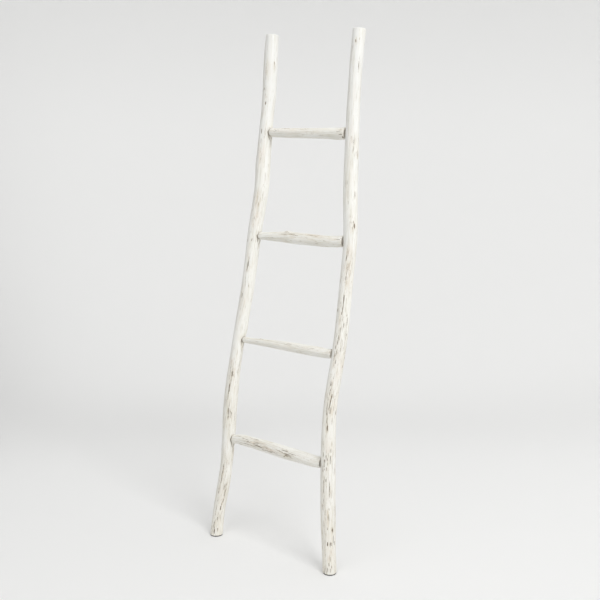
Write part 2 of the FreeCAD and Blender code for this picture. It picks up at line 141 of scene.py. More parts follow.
RIGHT_FLAWS = [
    (60, -88, 40, 2.4, .5, 0), (110, -84, 50, 2.4, .5, 2), (150, -90, 44, 2.6, .6, 0),
    (200, -78, 40, 2.4, .5, 0), (225, -90, 50, 2.6, .6, 0), (45, -46, 14, 2.6, .6, 0),
    (8, -70, 16, 3.0, .7, 0), (70, -50, 16, 2.2, .4, 0),
    (16, -36, 18, 3.6, .8, 0), (28, -58, 10, 4.0, .75, 0), (8, -48, 12, 3.4, .7, 0),
    (96, -64, 11, 5.4, 1.0, 0), (97, -36, 11, 5.0, 1.0, 0), (98, 2, 12, 5.0, .95, 0),
    (114, -14, 26, 3.0, .8, 0), (140, -20, 24, 2.6, .6, 0), (186, -50, 22, 3.4, .85, 0),
    (215, -46, 9, 3.6, .65, 0), (234, -36, 12, 2.6, .5, 0), (248, -84, 54, 2.4, .4, 0),
    (281, -44, 48, 2.5, .8, -1), (268, -28, 36, 2.4, .6, 5), (311, -73, 8, 5.0, .95, 0),
    (290, -90, 42, 2.8, .7, 0), (352, -68, 14, 3.0, .8, 0), (362, -86, 12, 3.4, .8, 0),
    (376, -84, 12, 4.0, .95, 0), (384, -66, 10, 3.4, .85, 0), (392, -72, 12, 3.0, .8, 0),
    (372, -60, 18, 2.4, .6, 0), (382, -38, 28, 3.0, .85, 0), (437, -28, 18, 3.0, .6, 0),
    (350, -98, 20, 3.6, .8, 0), (398, -96, 16, 3.0, .7, 0), (430, -92, 36, 2.6, .45, 0),
    (489, -70, 16, 5.4, 1.0, 0), (524, -76, 38, 3.0, .9, -3), (512, -32, 26, 2.8, .7, 2),
    (549, -54, 22, 3.6, .9, 0), (578, -60, 38, 3.4, .95, 4), (600, -54, 10, 3.8, .85, 0),
    (562, -84, 76, 3.4, .75, 0), (622, -74, 44, 3.2, .85, 4), (543, 6, 14, 4.4, .8, 0),
    (560, -18, 40, 2.2, .4, -4), (590, -30, 46, 2.0, .35, 4), (640, -80, 16, 3.6, .85, 0),
    (655, -96, 40, 3.0, .6, 0), (670, -64, 26, 2.6, .55, 6), (716, -72, 12, 4.4, .9, 0),
    (700, 4, 12, 3.6, .7, 0), (705, -44, 26, 2.2, .35, 0), (748, -76, 26, 3.0, .75, 8),
    (735, -90, 34, 3.0, .75, -6), (757, -46, 14, 3.2, .6, 0), (764, -22, 22, 3.0, .6, 0),
    (764, -92, 14, 4.0, .8, 0), (782, -76, 14, 4.0, .85, 0), (797, -76, 18, 3.6, .9, 0),
    (826, -44, 18, 2.8, .6, -6), (841, -40, 14, 4.6, .85, 0), (863, -54, 14, 3.0, .6, 6),
    (850, -84, 40, 2.6, .55, 4), (881, -72, 9, 4.0, .85, 0), (896, -64, 22, 3.8, .9, 0),
    (908, -88, 26, 2.8, .6, 0), (930, -63, 24, 4.2, .9, 0), (955, -12, 32, 2.8, .5, 3),
    (940, -92, 24, 2.8, .5, 0), (999, -64, 14, 3.8, .85, 0), (1030, -58, 40, 3.2, .75, 4),
    (1012, -28, 40, 2.8, .55, 6), (1050, -34, 40, 2.4, .4, 5), (1068, -78, 20, 3.4, .8, 4),
    (1086, -70, 26, 2.6, .6, -14), (1040, -88, 46, 2.8, .5, 0), (1096, -58, 12, 2.6, .45, 0),
    (1197, -55, 24, 3.2, .7, 0), (1186, -36, 12, 3.6, .8, 6), (1176, -29, 14, 6.0, 1.0, 0),
    (1165, -40, 18, 2.6, .5, 0), (1252, -76, 10, 3.4, .4, 0), (1262, -37, 8, 3.0, .5, 0),
    (1276, -19, 28, 4.0, .7, 0), (1320, -86, 18, 3.6, .55, 0), (1330, -22, 32, 2.6, .4, 0),
    (1412, -8, 26, 4.0, .55, 6), (1416, -22, 14, 3.0, .65, 0), (1438, -44, 46, 2.6, .6, 2),
    (1466, -42, 28, 2.6, .55, 0), (1440, -12, 30, 2.0, .35, 0), (1655, -88, 14, 3.0, .45, 0),
    (1668, -64, 20, 2.2, .25, 0), (1790, -80, 10, 5.4, .8, 0), (1797, -47, 8, 4.4, .55, 0),
    (1776, -106, 22, 3.4, .6, 0)]
# Eye knots: place, angle, half length, half width, darkness.
LEFT_EYES = [(112, -38, 27, 8.5, .55), (1612, -76, 10, 5.0, .5), (1726, -18, 15, 7.0, .35),
             (772, 30, 15, 9.0, .5), (1372, 205, 13, 8.0, .6), (300, 120, 14, 9.0, .7),
             (1090, 95, 14, 8.0, .65), (820, 150, 11, 6.5, .5), (520, 100, 12, 7.0, .6)]
RIGHT_EYES = [(144, -24, 12, 6.5, 1.0), (489, -70, 17, 7.5, .8), (1176, -31, 16, 8.0, .8),
              (1413, -10, 15, 8.0, .4), (1790, -76, 13, 7.5, .45), (640, 100, 15, 9.0, .7),
              (1560, 150, 13, 8.0, .6), (930, 110, 12, 7.0, .55), (260, 160, 13, 8.0, .6)]
# Where the whitewash is worn thin: place, angle, half length, half width, amount, pinkness.
LEFT_WORN = [(60, -60, 50, 16, .45, .2), (130, -45, 60, 14, .5, .5), (215, -70, 70, 16, .5, .2),
             (280, -60, 50, 14, .4, .4), (470, -70, 60, 14, .4, .1), (545, -45, 45, 16, .45, 0),
             (600, -50, 40, 14, .5, .5), (645, -75, 25, 12, .6, .6), (880, -75, 34, 14, .6, .3),
             (1010, -60, 34, 16, .35, 0), (1180, -60, 34, 14, .7, .6), (1240, -72, 34, 14, .7, .25),
             (1410, -80, 40, 12, .5, .8), (1715, -70, 36, 12, .4, .9), (330, 60, 120, 20, .5, .2),
             (900, 120, 120, 18, .45, .2), (620, 170, 90, 18, .5, .3), (1300, 80, 90, 16, .4, .4)]
RIGHT_WORN = [(70, -45, 50, 18, .6, .3), (120, -30, 34, 16, .6, .2), (190, -70, 60, 18, .7, .2),
              (240, -80, 70, 14, .6, .1), (300, -50, 60, 16, .35, .5), (380, -60, 40, 14, .45, .2),
              (430, -50, 40, 16, .35, .7), (570, -45, 55, 20, .7, .15), (640, -75, 50, 14, .4, .1),
              (690, -30, 50, 18, .5, .7), (735, -70, 40, 16, .5, .8), (800, -70, 50, 14, .35, 0),
              (860, -80, 60, 14, .4, .1), (985, -40, 34, 18, .7, .4), (1030, -50, 50, 16, .75, .4),
              (1085, -60, 30, 14, .65, .8), (1170, -45, 22, 12, .5, .1), (1290, -80, 50, 12, .25, .1),
              (1460, -70, 26, 12, .35, .9), (400, 100, 130, 20, .5, .2), (1000, 60, 110, 20, .45, .3),
              (700, 160, 100, 18, .5, .2)]
# How thickly the small cracks lie along each rail, from 0 to 1.
LEFT_DENSE = [(0, .9), (290, .75), (330, .25), (430, .3), (460, .9), (640, .85), (670, .2),
              (860, .2), (890, .4), (1040, .35), (1060, .15), (1150, .3), (1230, .3), (1260, .1),
              (1600, .1), (1700, .15), (1830, .1)]
RIGHT_DENSE = [(0, .65), (160, .65), (320, .75), (400, .8), (440, .4), (480, .8), (520, 1.0),
               (760, 1.0), (800, .75), (900, .7), (1100, .55), (1130, .15), (1300, .25),
               (1480, .2), (1500, .05), (1700, .06), (1830, .1)]
RUNG_FLAWS = [
    [(96, 150, 40, 2.6, .7, 2), (130, 170, 70, 3.2, .95, 0), (120, 195, 60, 2.8, .8, 1),
     (160, 186, 50, 3.4, .9, 0), (152, 158, 60, 3.0, .8, -2), (200, 205, 44, 3.0, .8, 0),
     (184, 172, 40, 2.6, .7, 3), (232, 196, 40, 3.2, .75, 0), (262, 168, 26, 3.6, .85, 0),
     (282, 150, 24, 4.0, .95, 0), (290, 176, 34, 3.4, .95, 2), (300, 190, 30, 3.4, .9, 0),
     (308, 160, 26, 3.0, .85, 0), (318, 200, 26, 2.6, .6, 0), (398, 160, 10, 3.6, .6, 0),
     (236, 130, 40, 2.2, .45, 2), (350, 176, 40, 2.0, .3, 0)],
    [(118, 120, 7, 4.0, .75, 0), (226, 148, 60, 2.8, .7, 0), (252, 140, 34, 3.0, .75, 0),
     (176, 160, 50, 2.4, .4, 0), (338, 150, 40, 2.6, .5, 0), (372, 160, 30, 2.4, .35, 0),
     (150, 190, 60, 2.2, .4, 0), (410, 170, 18, 3.0, .6, 0)],
    [(150, 110, 14, 4.4, .9, 0), (166, 132, 46, 3.0, .8, 4), (186, 150, 50, 3.2, .8, 4),
     (146, 160, 40, 2.8, .7, 4), (262, 128, 34, 4.0, .75, 0), (300, 150, 36, 2.4, .4, 0),
     (340, 120, 24, 3.4, .55, 0), (210, 172, 70, 2.6, .6, 2), (118, 138, 40, 2.4, .45, 0),
     (384, 165, 14, 4.0, .7, 0), (230, 110, 40, 2.2, .4, 0)],
    [(52, 140, 9, 3.4, .8, 0), (60, 165, 8, 3.4, .8, 0), (68, 150, 8, 3.0, .7, 0),
     (54, 180, 10, 3.0, .7, 0), (198, 140, 24, 3.2, .8, 0), (214, 190, 34, 3.2, .7, 0),
     (176, 200, 40, 2.4, .4, 0), (250, 170, 40, 2.2, .35, 0), (336, 170, 16, 3.4, .7, 0),
     (344, 200, 14, 4.0, .8, 0), (100, 150, 50, 2.0, .3, 0)]]
RUNG_WORN = [
    [(70, 180, 60, 12, .3, 0), (150, 170, 60, 14, .7, .2), (210, 180, 46, 14, .75, .5),
     (290, 170, 40, 14, .6, 0), (360, 170, 50, 14, .4, .3), (200, 20, 120, 14, .5, .2)],
    [(110, 150, 60, 10, .25, 0), (230, 150, 70, 12, .35, 0), (350, 150, 60, 12, .35, .2),
     (260, 0, 120, 12, .5, .2)],
    [(120, 150, 60, 12, .35, .1), (200, 150, 60, 14, .6, 0), (280, 130, 60, 14, .65, .3),
     (360, 160, 50, 14, .6, .1), (200, 0, 120, 12, .5, .2)],
    [(70, 150, 34, 12, .5, .7), (130, 160, 60, 12, .45, .6), (230, 160, 70, 12, .35, 0),
     (345, 160, 24, 12, .6, 0), (200, 0, 110, 12, .4, .2)]]
RUNG_DENSE = [.75, .35, .45, .3]

AX_X = np.array([1.0, 0.0, 0.0])
AX_V = np.array([0.0, math.sin(LEAN), math.cos(LEAN)])
AX_N = np.array([0.0, math.cos(LEAN), -math.sin(LEAN)])
TAU = 2 * math.pi


# ------------------------------------------------------------------ numbers
def spline(rows, col):
    """Natural cubic spline through a column of stations, straight on past its first one."""
    xs = np.array([r[0] for r in rows], float)
    ys = np.array([r[col] for r in rows], float)
    n = len(xs)
    h = np.diff(xs)
    a = np.zeros((n, n))
    d = np.zeros(n)
    a[0, 0] = a[-1, -1] = 1
    for i in range(1, n - 1):
        a[i, i - 1], a[i, i], a[i, i + 1] = h[i - 1], 2 * (h[i - 1] + h[i]), h[i]
        d[i] = 6 * ((ys[i + 1] - ys[i]) / h[i] - (ys[i] - ys[i - 1]) / h[i - 1])
    m = np.linalg.solve(a, d)
    slope = (ys[1] - ys[0]) / h[0] - h[0] * (2 * m[0] + m[1]) / 6

    def value(x):
        x = np.asarray(x, float)
        i = np.clip(np.searchsorted(xs, x) - 1, 0, n - 2)
        t0, t1 = xs[i + 1] - x, x - xs[i]
        y = (m[i] * t0 ** 3 + m[i + 1] * t1 ** 3) / (6 * h[i]) \
            + (ys[i] / h[i] - m[i] * h[i] / 6) * t0 + (ys[i + 1] / h[i] - m[i + 1] * h[i] / 6) * t1
        y = np.where(x <= xs[0], ys[0] + slope * (x - xs[0]), y)
        return np.where(x >= xs[-1], ys[-1], y)
    return value


def wrap(a):
    return (a + math.pi) % TAU - math.pi


class Noise:
    """Smooth value noise from -1 to 1, the same on every run."""

    def __init__(self, seed):
        self.t = np.random.RandomState(seed).rand(32, 32, 32) * 2 - 1

    def __call__(self, x, y, z):
        x, y, z = np.broadcast_arrays(np.asarray(x, float), np.asarray(y, float), np.asarray(z, float))
        out = 0.0
        ix, iy, iz = np.floor(x).astype(int), np.floor(y).astype(int), np.floor(z).astype(int)
        fx, fy, fz = x - ix, y - iy, z - iz
        fx, fy, fz = [f * f * f * (f * (f * 6 - 15) + 10) for f in (fx, fy, fz)]
        for a in (0, 1):
            for b in (0, 1):
                for c in (0, 1):
                    w = (fx if a else 1 - fx) * (fy if b else 1 - fy) * (fz if c else 1 - fz)
                    out = out + w * self.t[(ix + a) & 31, (iy + b) & 31, (iz + c) & 31]
        return out


def smooth(lo, hi, x):
    t = np.clip((x - lo) / (hi - lo), 0, 1)
    return t * t * (3 - 2 * t)


class Skin:
    """The marks on one branch, drawn on a sheet: rows along the branch, columns round it.
    cracks and faint hold dark lines, worn and pink thin paint, lift the height in mm."""

    def __init__(self, length, girth_r, seed, rows_mm=1.6, columns=200):
        self.length, self.r = length, girth_r
        self.n = int(length / rows_mm) + 2
        self.m = columns
        self.v = np.linspace(0, length, self.n)
        self.a = np.arange(columns) * TAU / columns
        shape = (self.n, self.m)
        self.cracks, self.faint, self.worn, self.pink, self.dirt_and_shade = [np.zeros(shape) for _ in range(5)]
        self.lift = np.zeros(shape)
        self.turn = np.zeros(shape)
        self.rng = np.random.RandomState(seed)
        self.noise = Noise(seed + 1)
        self.vv, self.aa = np.meshgrid(self.v, self.a, indexing="ij")
        self.cx, self.cy = girth_r * np.cos(self.aa), girth_r * np.sin(self.aa)

    def rows(self, v0, v1):
        i0 = max(0, int(np.searchsorted(self.v, v0)))
        i1 = min(self.n, int(np.searchsorted(self.v, v1)) + 1)
        return slice(i0, max(i0 + 1, i1))

    def crack(self, v0, deg, length, width, dark, slant=0.0, layer=None, cut=0.7):
        """A lens-shaped crack along the grain, ragged along its edges."""
        rs = self.rows(v0 - length / 2 - 2, v0 + length / 2 + 2)
        v, a = self.vv[rs], self.aa[rs]
        s = (v - v0) / (length / 2 + 0.8)
        k = self.rng.rand() * 30
        bend = 0.9 * self.noise(v / 17.0 + k, k, 0.3)
        u = self.r * wrap(a - math.radians(deg)) - slant * (v - v0) / 100.0 - bend
        taper = np.clip(1 - s * s, 0, 1) ** 0.55
        rag = 0.78 + 0.34 * self.noise(v / 2.3 + k, a * 3.0, k)
        half = np.maximum(width / 2 * taper * rag, 0.25)
        f = np.exp(-(u / half) ** 2 * 0.9) * np.clip(taper * 1.4, 0, 1)
        f = f * (np.abs(s) < 1)
        target = self.cracks if layer is None else layer
        target[rs] = np.maximum(target[rs], dark * f)
        self.lift[rs] -= cut * dark * f * min(1.0, width / 3.0)

    def flaw(self, v0, deg, length, width, dark, slant=0.0):
        """A crack seen in the photograph, with the thinner ones that run beside it."""
        rng = self.rng
        self.crack(v0, deg, length * 1.25, width * 0.92, dark, slant, cut=0.9)
        for _ in range(2 + int(length > 25) + int(length > 45)):
            off = math.degrees(rng.choice((-1, 1)) * rng.uniform(2.2, 6.0) / self.r)
            self.crack(v0 + rng.uniform(-0.8, 0.8) * max(length, 22), deg + off,
                       rng.uniform(0.6, 1.5) * max(length, 18), rng.uniform(1.5, 2.3),
                       dark * rng.uniform(0.3, 0.62), slant + rng.normal(0, 2.0), cut=0.5)
        self.crack(v0 + rng.uniform(-6, 6), deg + math.degrees(rng.normal(0, 3.0) / self.r),
                   length * 2.4 + 14, 2.6, dark * 0.55, slant, layer=self.faint, cut=0.25)

    def eye(self, v0, deg, hl, hw, dark):
        """A pruned knot: a low swelling, a sunk dark heart and a ring, the grain going round it."""
        rs = self.rows(v0 - 3.2 * hl, v0 + 3.2 * hl)
        v, a = self.vv[rs], self.aa[rs]
        du, dv = self.r * wrap(a - math.radians(deg)) / hw, (v - v0) / hl
        q = np.sqrt(du * du + dv * dv)
        k = self.rng.rand() * 30
        q = q * (1 + 0.13 * self.noise(du * 1.6 + k, dv * 1.6, k))
        self.lift[rs] += 0.55 * np.exp(-q * q / 1.4) - 1.0 * dark * np.exp(-(q / 0.42) ** 2) \
            - 0.32 * np.exp(-((q - 0.86) / 0.13) ** 2)
        ring = np.exp(-((q - 0.86) / 0.12) ** 2) * (0.55 + 0.45 * self.noise(du * 3, dv * 3, k + 5))
        heart = np.exp(-(q / 0.36) ** 2)
        check = np.exp(-(du / 0.1) ** 2) * (np.abs(dv) < 0.8) * 0.8
        self.cracks[rs] = np.maximum(self.cracks[rs], dark * np.maximum(heart, np.maximum(0.62 * ring, 0.8 * check)))
        self.worn[rs] = np.maximum(self.worn[rs], 0.75 * dark * np.exp(-q * q / 1.1))
        self.turn[rs] += -0.55 * np.exp(-q * q / 2.2) * wrap(a - math.radians(deg))

    def thin(self, v0, deg, hl, hw, amount, pink):
        rs = self.rows(v0 - 2.4 * hl, v0 + 2.4 * hl)
        v, a = self.vv[rs], self.aa[rs]
        du, dv = self.r * wrap(a - math.radians(deg)) / hw, (v - v0) / hl
        k = self.rng.rand() * 30
        f = np.exp(-(du * du + dv * dv) * 0.9)
        f = f * np.clip(0.75 + 0.6 * self.noise(self.cx[rs] / 5 + k, self.cy[rs] / 5, v / 26.0), 0, 1.3)
        self.worn[rs] = np.maximum(self.worn[rs], amount * f)
        self.pink[rs] = np.maximum(self.pink[rs], amount * pink * f)

    def scatter(self, dense, per_mm2, keep_clear=()):
        """Small cracks and faint lines over the whole branch, thicker where dense says."""
        rng = self.rng
        count = int(self.length * TAU * self.r * per_mm2)
        for _ in range(count):
            v0 = rng.uniform(4, self.length - 4)
            deg = rng.uniform(0, 360)
            d = dense(v0)
            patch = self.noise(v0 / 70.0, math.cos(math.radians(deg)) * 1.2, math.sin(math.radians(deg)) * 1.2)
            p = d * np.clip(0.72 + 0.95 * patch, 0.05, 1.6)
            x, size, kind = rng.rand(), rng.rand(), rng.rand()
            length = 10 + 62 * size ** 2.0
            slant = rng.normal(0, 2.6)
            dark = 0.28 + 0.55 * rng.rand() ** 1.6
            width = 1.6 + 1.3 * rng.rand() ** 1.5
            if any(abs(v0 - kv) < kh and abs(wrap(math.radians(deg - kd))) < math.radians(kw)
                   for kv, kd, kh, kw in keep_clear):
                continue
            if x < p:
                if kind < 0.42:
                    self.crack(v0, deg, length, width, dark, slant)
                else:
                    self.crack(v0, deg, length * 1.8, 2.4, dark * 0.9, slant, layer=self.faint, cut=0.30)

    def settle(self, facets, lumps=1.0):
        """Facets of the peeling knife, the branch's own lumps and its grain."""
        n = self.noise
        g = self.aa + self.turn
        gx, gy = self.r * np.cos(g), self.r * np.sin(g)
        drift = 1.1 * n(self.vv / 190.0, 7.3, 1.1)
        fac = np.abs(np.sin(facets / 2.0 * self.aa + drift * 2))
        swell = np.clip(0.75 + 0.6 * n(gx / 20, gy / 20, self.vv / 60.0), 0.15, 1.3)
        self.lift += 0.42 * (fac - 0.64) * swell
        self.lift += lumps * 0.5 * n(gx / 22 + 3, gy / 22, self.vv / 75.0)
        rough = np.clip(0.60 + 0.5 * n(gx / 26 + 9, gy / 26, self.vv / 130.0) + 1.5 * self.worn, 0.3, 1.8)
        self.lift += 0.42 * rough * n(gx / 6.5, gy / 6.5 + 9, self.vv / 52.0)
        self.lift += 0.24 * rough * n(gx / 3.4 + 5, gy / 3.4, self.vv / 34.0)
        # long shallow nicks across the facets, left by the knife
        self.lift += 0.14 * n(gx / 9 + 11, gy / 9, self.vv / 9.0)
        grain = n(gx / 1.9 + 2, gy / 1.9, self.vv / 46.0) + 0.5 * n(gx / 1.2, gy / 1.2 + 4, self.vv / 22.0)
        patch = np.clip(0.5 + 0.9 * n(gx / 16, gy / 16 + 6, self.vv / 90.0), 0, 1)
        self.faint = np.maximum(self.faint, np.clip(grain - 0.55, 0, 1) * 0.7 * patch)

    def read(self, sheet, v, a):
        """Values of a sheet at places on the branch, blended between its cells."""
        x = np.clip(v / self.length * (self.n - 1), 0, self.n - 1.001)
        y = (a % TAU) / TAU * self.m
        i, j = x.astype(int), y.astype(int) % self.m
        fx, fy = x - i, y - np.floor(y)
        k = (j + 1) % self.m
        return (sheet[i, j] * (1 - fx) * (1 - fy) + sheet[i + 1, j] * fx * (1 - fy)
                + sheet[i, k] * (1 - fx) * fy + sheet[i + 1, k] * fx * fy)


# ------------------------------------------------------------------ the branches
class Rail:
    def __init__(self, side, rows, knots, seed):
        self.side, self.knots, self.seed = side, knots, seed
        self.fx, self.fn, self.fr = spline(rows, 1), spline(rows, 2), spline(rows, 3)

    def centre(self, v):
        v = np.asarray(v, float)
        half = 0.5 * (FOOT_SPREAD + (TOP_SPREAD - FOOT_SPREAD) * v / RAIL_LENGTH)
        return (self.side * half + self.fx(v))[..., None] * AX_X + v[..., None] * AX_V \
            + self.fn(v)[..., None] * AX_N

    def radius(self, v, a):
        r = self.fr(v)
        s = self.seed
        r = r * (1 + 0.024 * np.cos(2 * a + s + v / 310.0) + 0.013 * np.cos(3 * a - 2 * s - v / 230.0))
        for kv, ka, rise, hl, hw in self.knots:
            da = wrap(a - math.radians(ka)) / math.radians(hw)
            r = r + rise * np.exp(-((v - kv) / hl) ** 2 - da * da)
        return r

    def place(self, v, a, r):
        return self.centre(v) + (r * np.cos(a))[..., None] * AX_X + (r * np.sin(a))[..., None] * AX_N

    def back(self, p):
        """(along, angle, distance from the centre line) of points."""
        v = p @ AX_V
        d = p - self.centre(v)
        x, n = d @ AX_X, d @ AX_N
        return v, np.arctan2(n, x), np.hypot(x, n)


left = Rail(-1, LEFT_RAIL, LEFT_KNOTS, 0.6)
right = Rail(1, RIGHT_RAIL, RIGHT_KNOTS, 2.3)


def unit(v):
    return v / np.linalg.norm(v)


class Rung:
    def __init__(self, number, spec):
        self.vl, self.vr, rows = spec
        self.a, self.b = left.centre(self.vl), right.centre(self.vr)
        self.length = float(np.linalg.norm(self.b - self.a))
        self.dir = unit(self.b - self.a)
        self.up = unit(AX_V - self.dir * (AX_V @ self.dir))
        self.rear = np.cross(self.up, self.dir)
        if self.rear @ AX_N < 0:
            self.rear = -self.rear
        self.knots = [k for k in RUNG_KNOTS if k[0] == number]
        self.seed = 1.7 * number + 0.4
        self.fu, self.fn, self.fr = spline(rows, 1), spline(rows, 2), spline(rows, 3)
        self.s0 = self.skin(left, self.a, self.vl, 0.0, 1.0) + SHOULDER_GAP
        self.s1 = self.length - self.skin(right, self.b, self.vr, math.pi, -1.0) - SHOULDER_GAP

    def skin(self, rail, at, v, ang, sign):
        i, j = np.meshgrid(np.arange(-6, 7), np.arange(-6, 7), indexing="ij")
        vv, aa = v + 2.0 * i, ang + np.radians(5.0 * j)
        p = rail.place(vv, aa, rail.radius(vv, aa)) - at
        along = p @ self.dir * sign
        off = np.linalg.norm(p - (along * sign)[..., None] * self.dir, axis=-1)
        return float(along[off < SHOULDER_R0 + 1.0].max())

    def radius(self, s, a):
        r = self.fr(s / self.length)
        r = r * (1 + 0.022 * np.cos(2 * a + self.seed + s / 120.0) + 0.012 * np.cos(3 * a + self.seed * 2))
        for _, kt, ka, rise, hl, hw in self.knots:
            da = wrap(a - math.radians(ka)) / math.radians(hw)
            r = r + rise * np.exp(-((s - kt * self.length) / hl) ** 2 - da * da)
        return r

    def centre(self, s):
        s = np.asarray(s, float)
        d = np.clip(np.minimum(s - self.s0, self.s1 - s) / 30.0, 0, 1)
        f = d * d * (3 - 2 * d)
        t = s / self.length
        return self.a + s[..., None] * self.dir + (self.fu(t) * f)[..., None] * self.up \
            + (self.fn(t) * f)[..., None] * self.rear

    def place(self, s, a, r):
        return self.centre(s) + (r * np.cos(a))[..., None] * self.rear + (r * np.sin(a))[..., None] * self.up

    def back(self, p):
        s = (p - self.a) @ self.dir
        d = p - self.centre(s)
        x, y = d @ self.rear, d @ self.up
        return s, np.arctan2(y, x), np.hypot(x, y)


rungs = [Rung(i, spec) for i, spec in enumerate(RUNGS)]


# ------------------------------------------------------------------ mesh making
def to_scene(p):
    return (np.asarray(p) + SHIFT) / 1000.0


def from_scene(p):
    return np.asarray(p) * 1000.0 - SHIFT


def grid_mesh(name, rings, kinds, close=True):
    """A closed skin over a stack of rings of points, with a fan at both ends. kinds gives the
    material of the band above each ring."""
    n, m = len(rings), len(rings[0])
    pts = np.concatenate([np.asarray(r) for r in rings])
    i, j = np.meshgrid(np.arange(n - 1), np.arange(m), indexing="ij")
    k = (j + 1) % m
    quads = np.stack([i * m + j, i * m + k, (i + 1) * m + k, (i + 1) * m + j], -1).reshape(-1, 4)
    mats = np.repeat(np.asarray(kinds[:n - 1]), m)
    lo, hi = len(pts), len(pts) + 1
    pts = np.concatenate([pts, [np.mean(rings[0], axis=0)], [np.mean(rings[-1], axis=0)]])
    j = np.arange(m)
    k = (j + 1) % m
    tri0 = np.stack([np.full(m, lo), k, j], -1)
    tri1 = np.stack([np.full(m, hi), (n - 1) * m + j, (n - 1) * m + k], -1)
    me = bpy.data.meshes.new(name)
    loops = np.concatenate([quads.ravel(), tri0.ravel(), tri1.ravel()])
    starts = np.concatenate([np.arange(len(quads)) * 4, len(quads) * 4 + np.arange(2 * m) * 3])
    me.vertices.add(len(pts))
    me.vertices.foreach_set("co", to_scene(pts).astype(np.float32).ravel())
    me.loops.add(len(loops))
    me.loops.foreach_set("vertex_index", loops.astype(np.int32))
    me.polygons.add(len(starts))
    me.polygons.foreach_set("loop_start", starts.astype(np.int32))
    me.polygons.foreach_set("material_index", np.concatenate(
        [mats, np.full(m, kinds[0]), np.full(m, kinds[n - 2])]).astype(np.int32))
    me.update(calc_edges=True)
    me.validate()
    return me


def make_object(name, me):
    ob = bpy.data.objects.new(name, me)
    bpy.context.scene.collection.objects.link(ob)
    return ob


def frame_of(axis):
    side = unit(np.cross(axis, AX_V if abs(axis @ AX_V) < 0.8 else AX_X))
    return side, np.cross(axis, side)


def rod(name, start, axis, stations, count=40, kind=0):
    """A turned piece: stations are (distance along, radius)."""
    sx, sy = frame_of(axis)
    a = np.arange(count) * TAU / count
    rings = [start + axis * d + (np.cos(a) * r)[:, None] * sx + (np.sin(a) * r)[:, None] * sy
             for d, r in stations]
    return grid_mesh(name, rings, [kind] * len(stations))


def cut_with(ob, cutters):
    """Takes the cutters out of ob's mesh."""
    import bmesh
    bm = bmesh.new()
    for me in cutters:
        bm.from_mesh(me)
    bmesh.ops.recalc_face_normals(bm, faces=bm.faces)
    tool_me = bpy.data.meshes.new("tool")
    bm.to_mesh(tool_me)
    bm.free()
    for mat in ob.data.materials:
        tool_me.materials.append(mat)
    tool = make_object("tool", tool_me)
    mod = ob.modifiers.new("holes", "BOOLEAN")
    mod.operation, mod.object, mod.solver = "DIFFERENCE", tool, "MANIFOLD"
    dg = bpy.context.evaluated_depsgraph_get()
    before = len(ob.data.polygons)
    out = bpy.data.meshes.new_from_object(ob.evaluated_get(dg))
    ob.modifiers.clear()
    old = ob.data
    ob.data = out
    out.name = old.name
    bpy.data.meshes.remove(old)
    bpy.data.objects.remove(tool)
    bpy.data.meshes.remove(tool_me)
    print(ob.name, "faces", before, "->", len(out.polygons))


def coords(me):
    co = np.empty(len(me.vertices) * 3, np.float32)
    me.vertices.foreach_get("co", co)
    return co.reshape(-1, 3).astype(float)


def put(me, name, values):
    """A per-vertex attribute of three numbers."""
    at = me.attributes.new(name, "FLOAT_VECTOR", "POINT")
    at.data.foreach_set("vector", np.asarray(values, np.float32).ravel())


def bake_map(me, along, angle, dist, total, strips, radius, skin_kind=0):
    """Lays the skin out in strips side by side for a later bake, and the sawn ends and sockets
    in patches beside them."""
    nl = len(me.loops)
    vi = np.empty(nl, np.int32)
    me.loops.foreach_get("vertex_index", vi)
    npoly = len(me.polygons)
    st, tot, mi = [np.empty(npoly, np.int32) for _ in range(3)]
    me.polygons.foreach_get("loop_start", st)
    me.polygons.foreach_get("loop_total", tot)
    me.polygons.foreach_get("material_index", mi)
    poly_of = np.repeat(np.arange(npoly), tot)
    co = coords(me)
    cen = np.zeros((npoly, 3))
    np.add.at(cen, poly_of, co[vi])
    cen /= tot[:, None]
    v, a = along[vi], angle[vi]
    vm = np.zeros(npoly)
    np.add.at(vm, poly_of, v)
    vm /= tot
    ca, sa = np.zeros(npoly), np.zeros(npoly)
    np.add.at(ca, poly_of, np.cos(a))
    np.add.at(sa, poly_of, np.sin(a))
    am = np.arctan2(sa, ca)
    au = am[poly_of] + wrap(a - am[poly_of])           # angle, unwrapped round the face's own
    span = total / strips
    strip = np.clip(((vm - along.min()) / span).astype(int), 0, strips - 1)[poly_of]
    girth = TAU * radius
    gap = 3.0
    width = strips * (girth + gap) + gap + 64
    height = span + 2 * gap
    size = max(width, height)
    ux = gap + strip * (girth + gap) + (au + math.pi) * radius
    uy = gap + (v - along.min()) - strip * span
    skin = (mi == skin_kind)[poly_of]
    # ends and sockets: flat patches in the column on the right
    other = ~skin
    nx0 = strips * (girth + gap) + gap
    seen = {}
    row = gap
    for kind in sorted(set(mi[mi != skin_kind].tolist())):
        pass
    cell = 62.0
    groups = np.round(vm / 60.0).astype(int) * 7 + mi
    order = {}
    for p in np.flatnonzero(mi != skin_kind):
        order.setdefault(int(groups[p]), len(order))
    slot = np.zeros(npoly)
    for p in np.flatnonzero(mi != skin_kind):
        slot[p] = order[int(groups[p])]
    count = max(1, len(order))
    step = min(cell, (size - 2 * gap) / count)
    lx = dist[vi] * np.cos(a) * step / cell
    ly = dist[vi] * np.sin(a) * step / cell
    ux = np.where(other, nx0 + 30 + lx * 0.98, ux)
    uy = np.where(other, gap + (slot[poly_of] + 0.5) * step + ly * 0.98, uy)
    uv = me.uv_layers.new(name="OFBake")
    uv.data.foreach_set("uv", (np.stack([ux, uy], -1) / size).astype(np.float32).ravel())


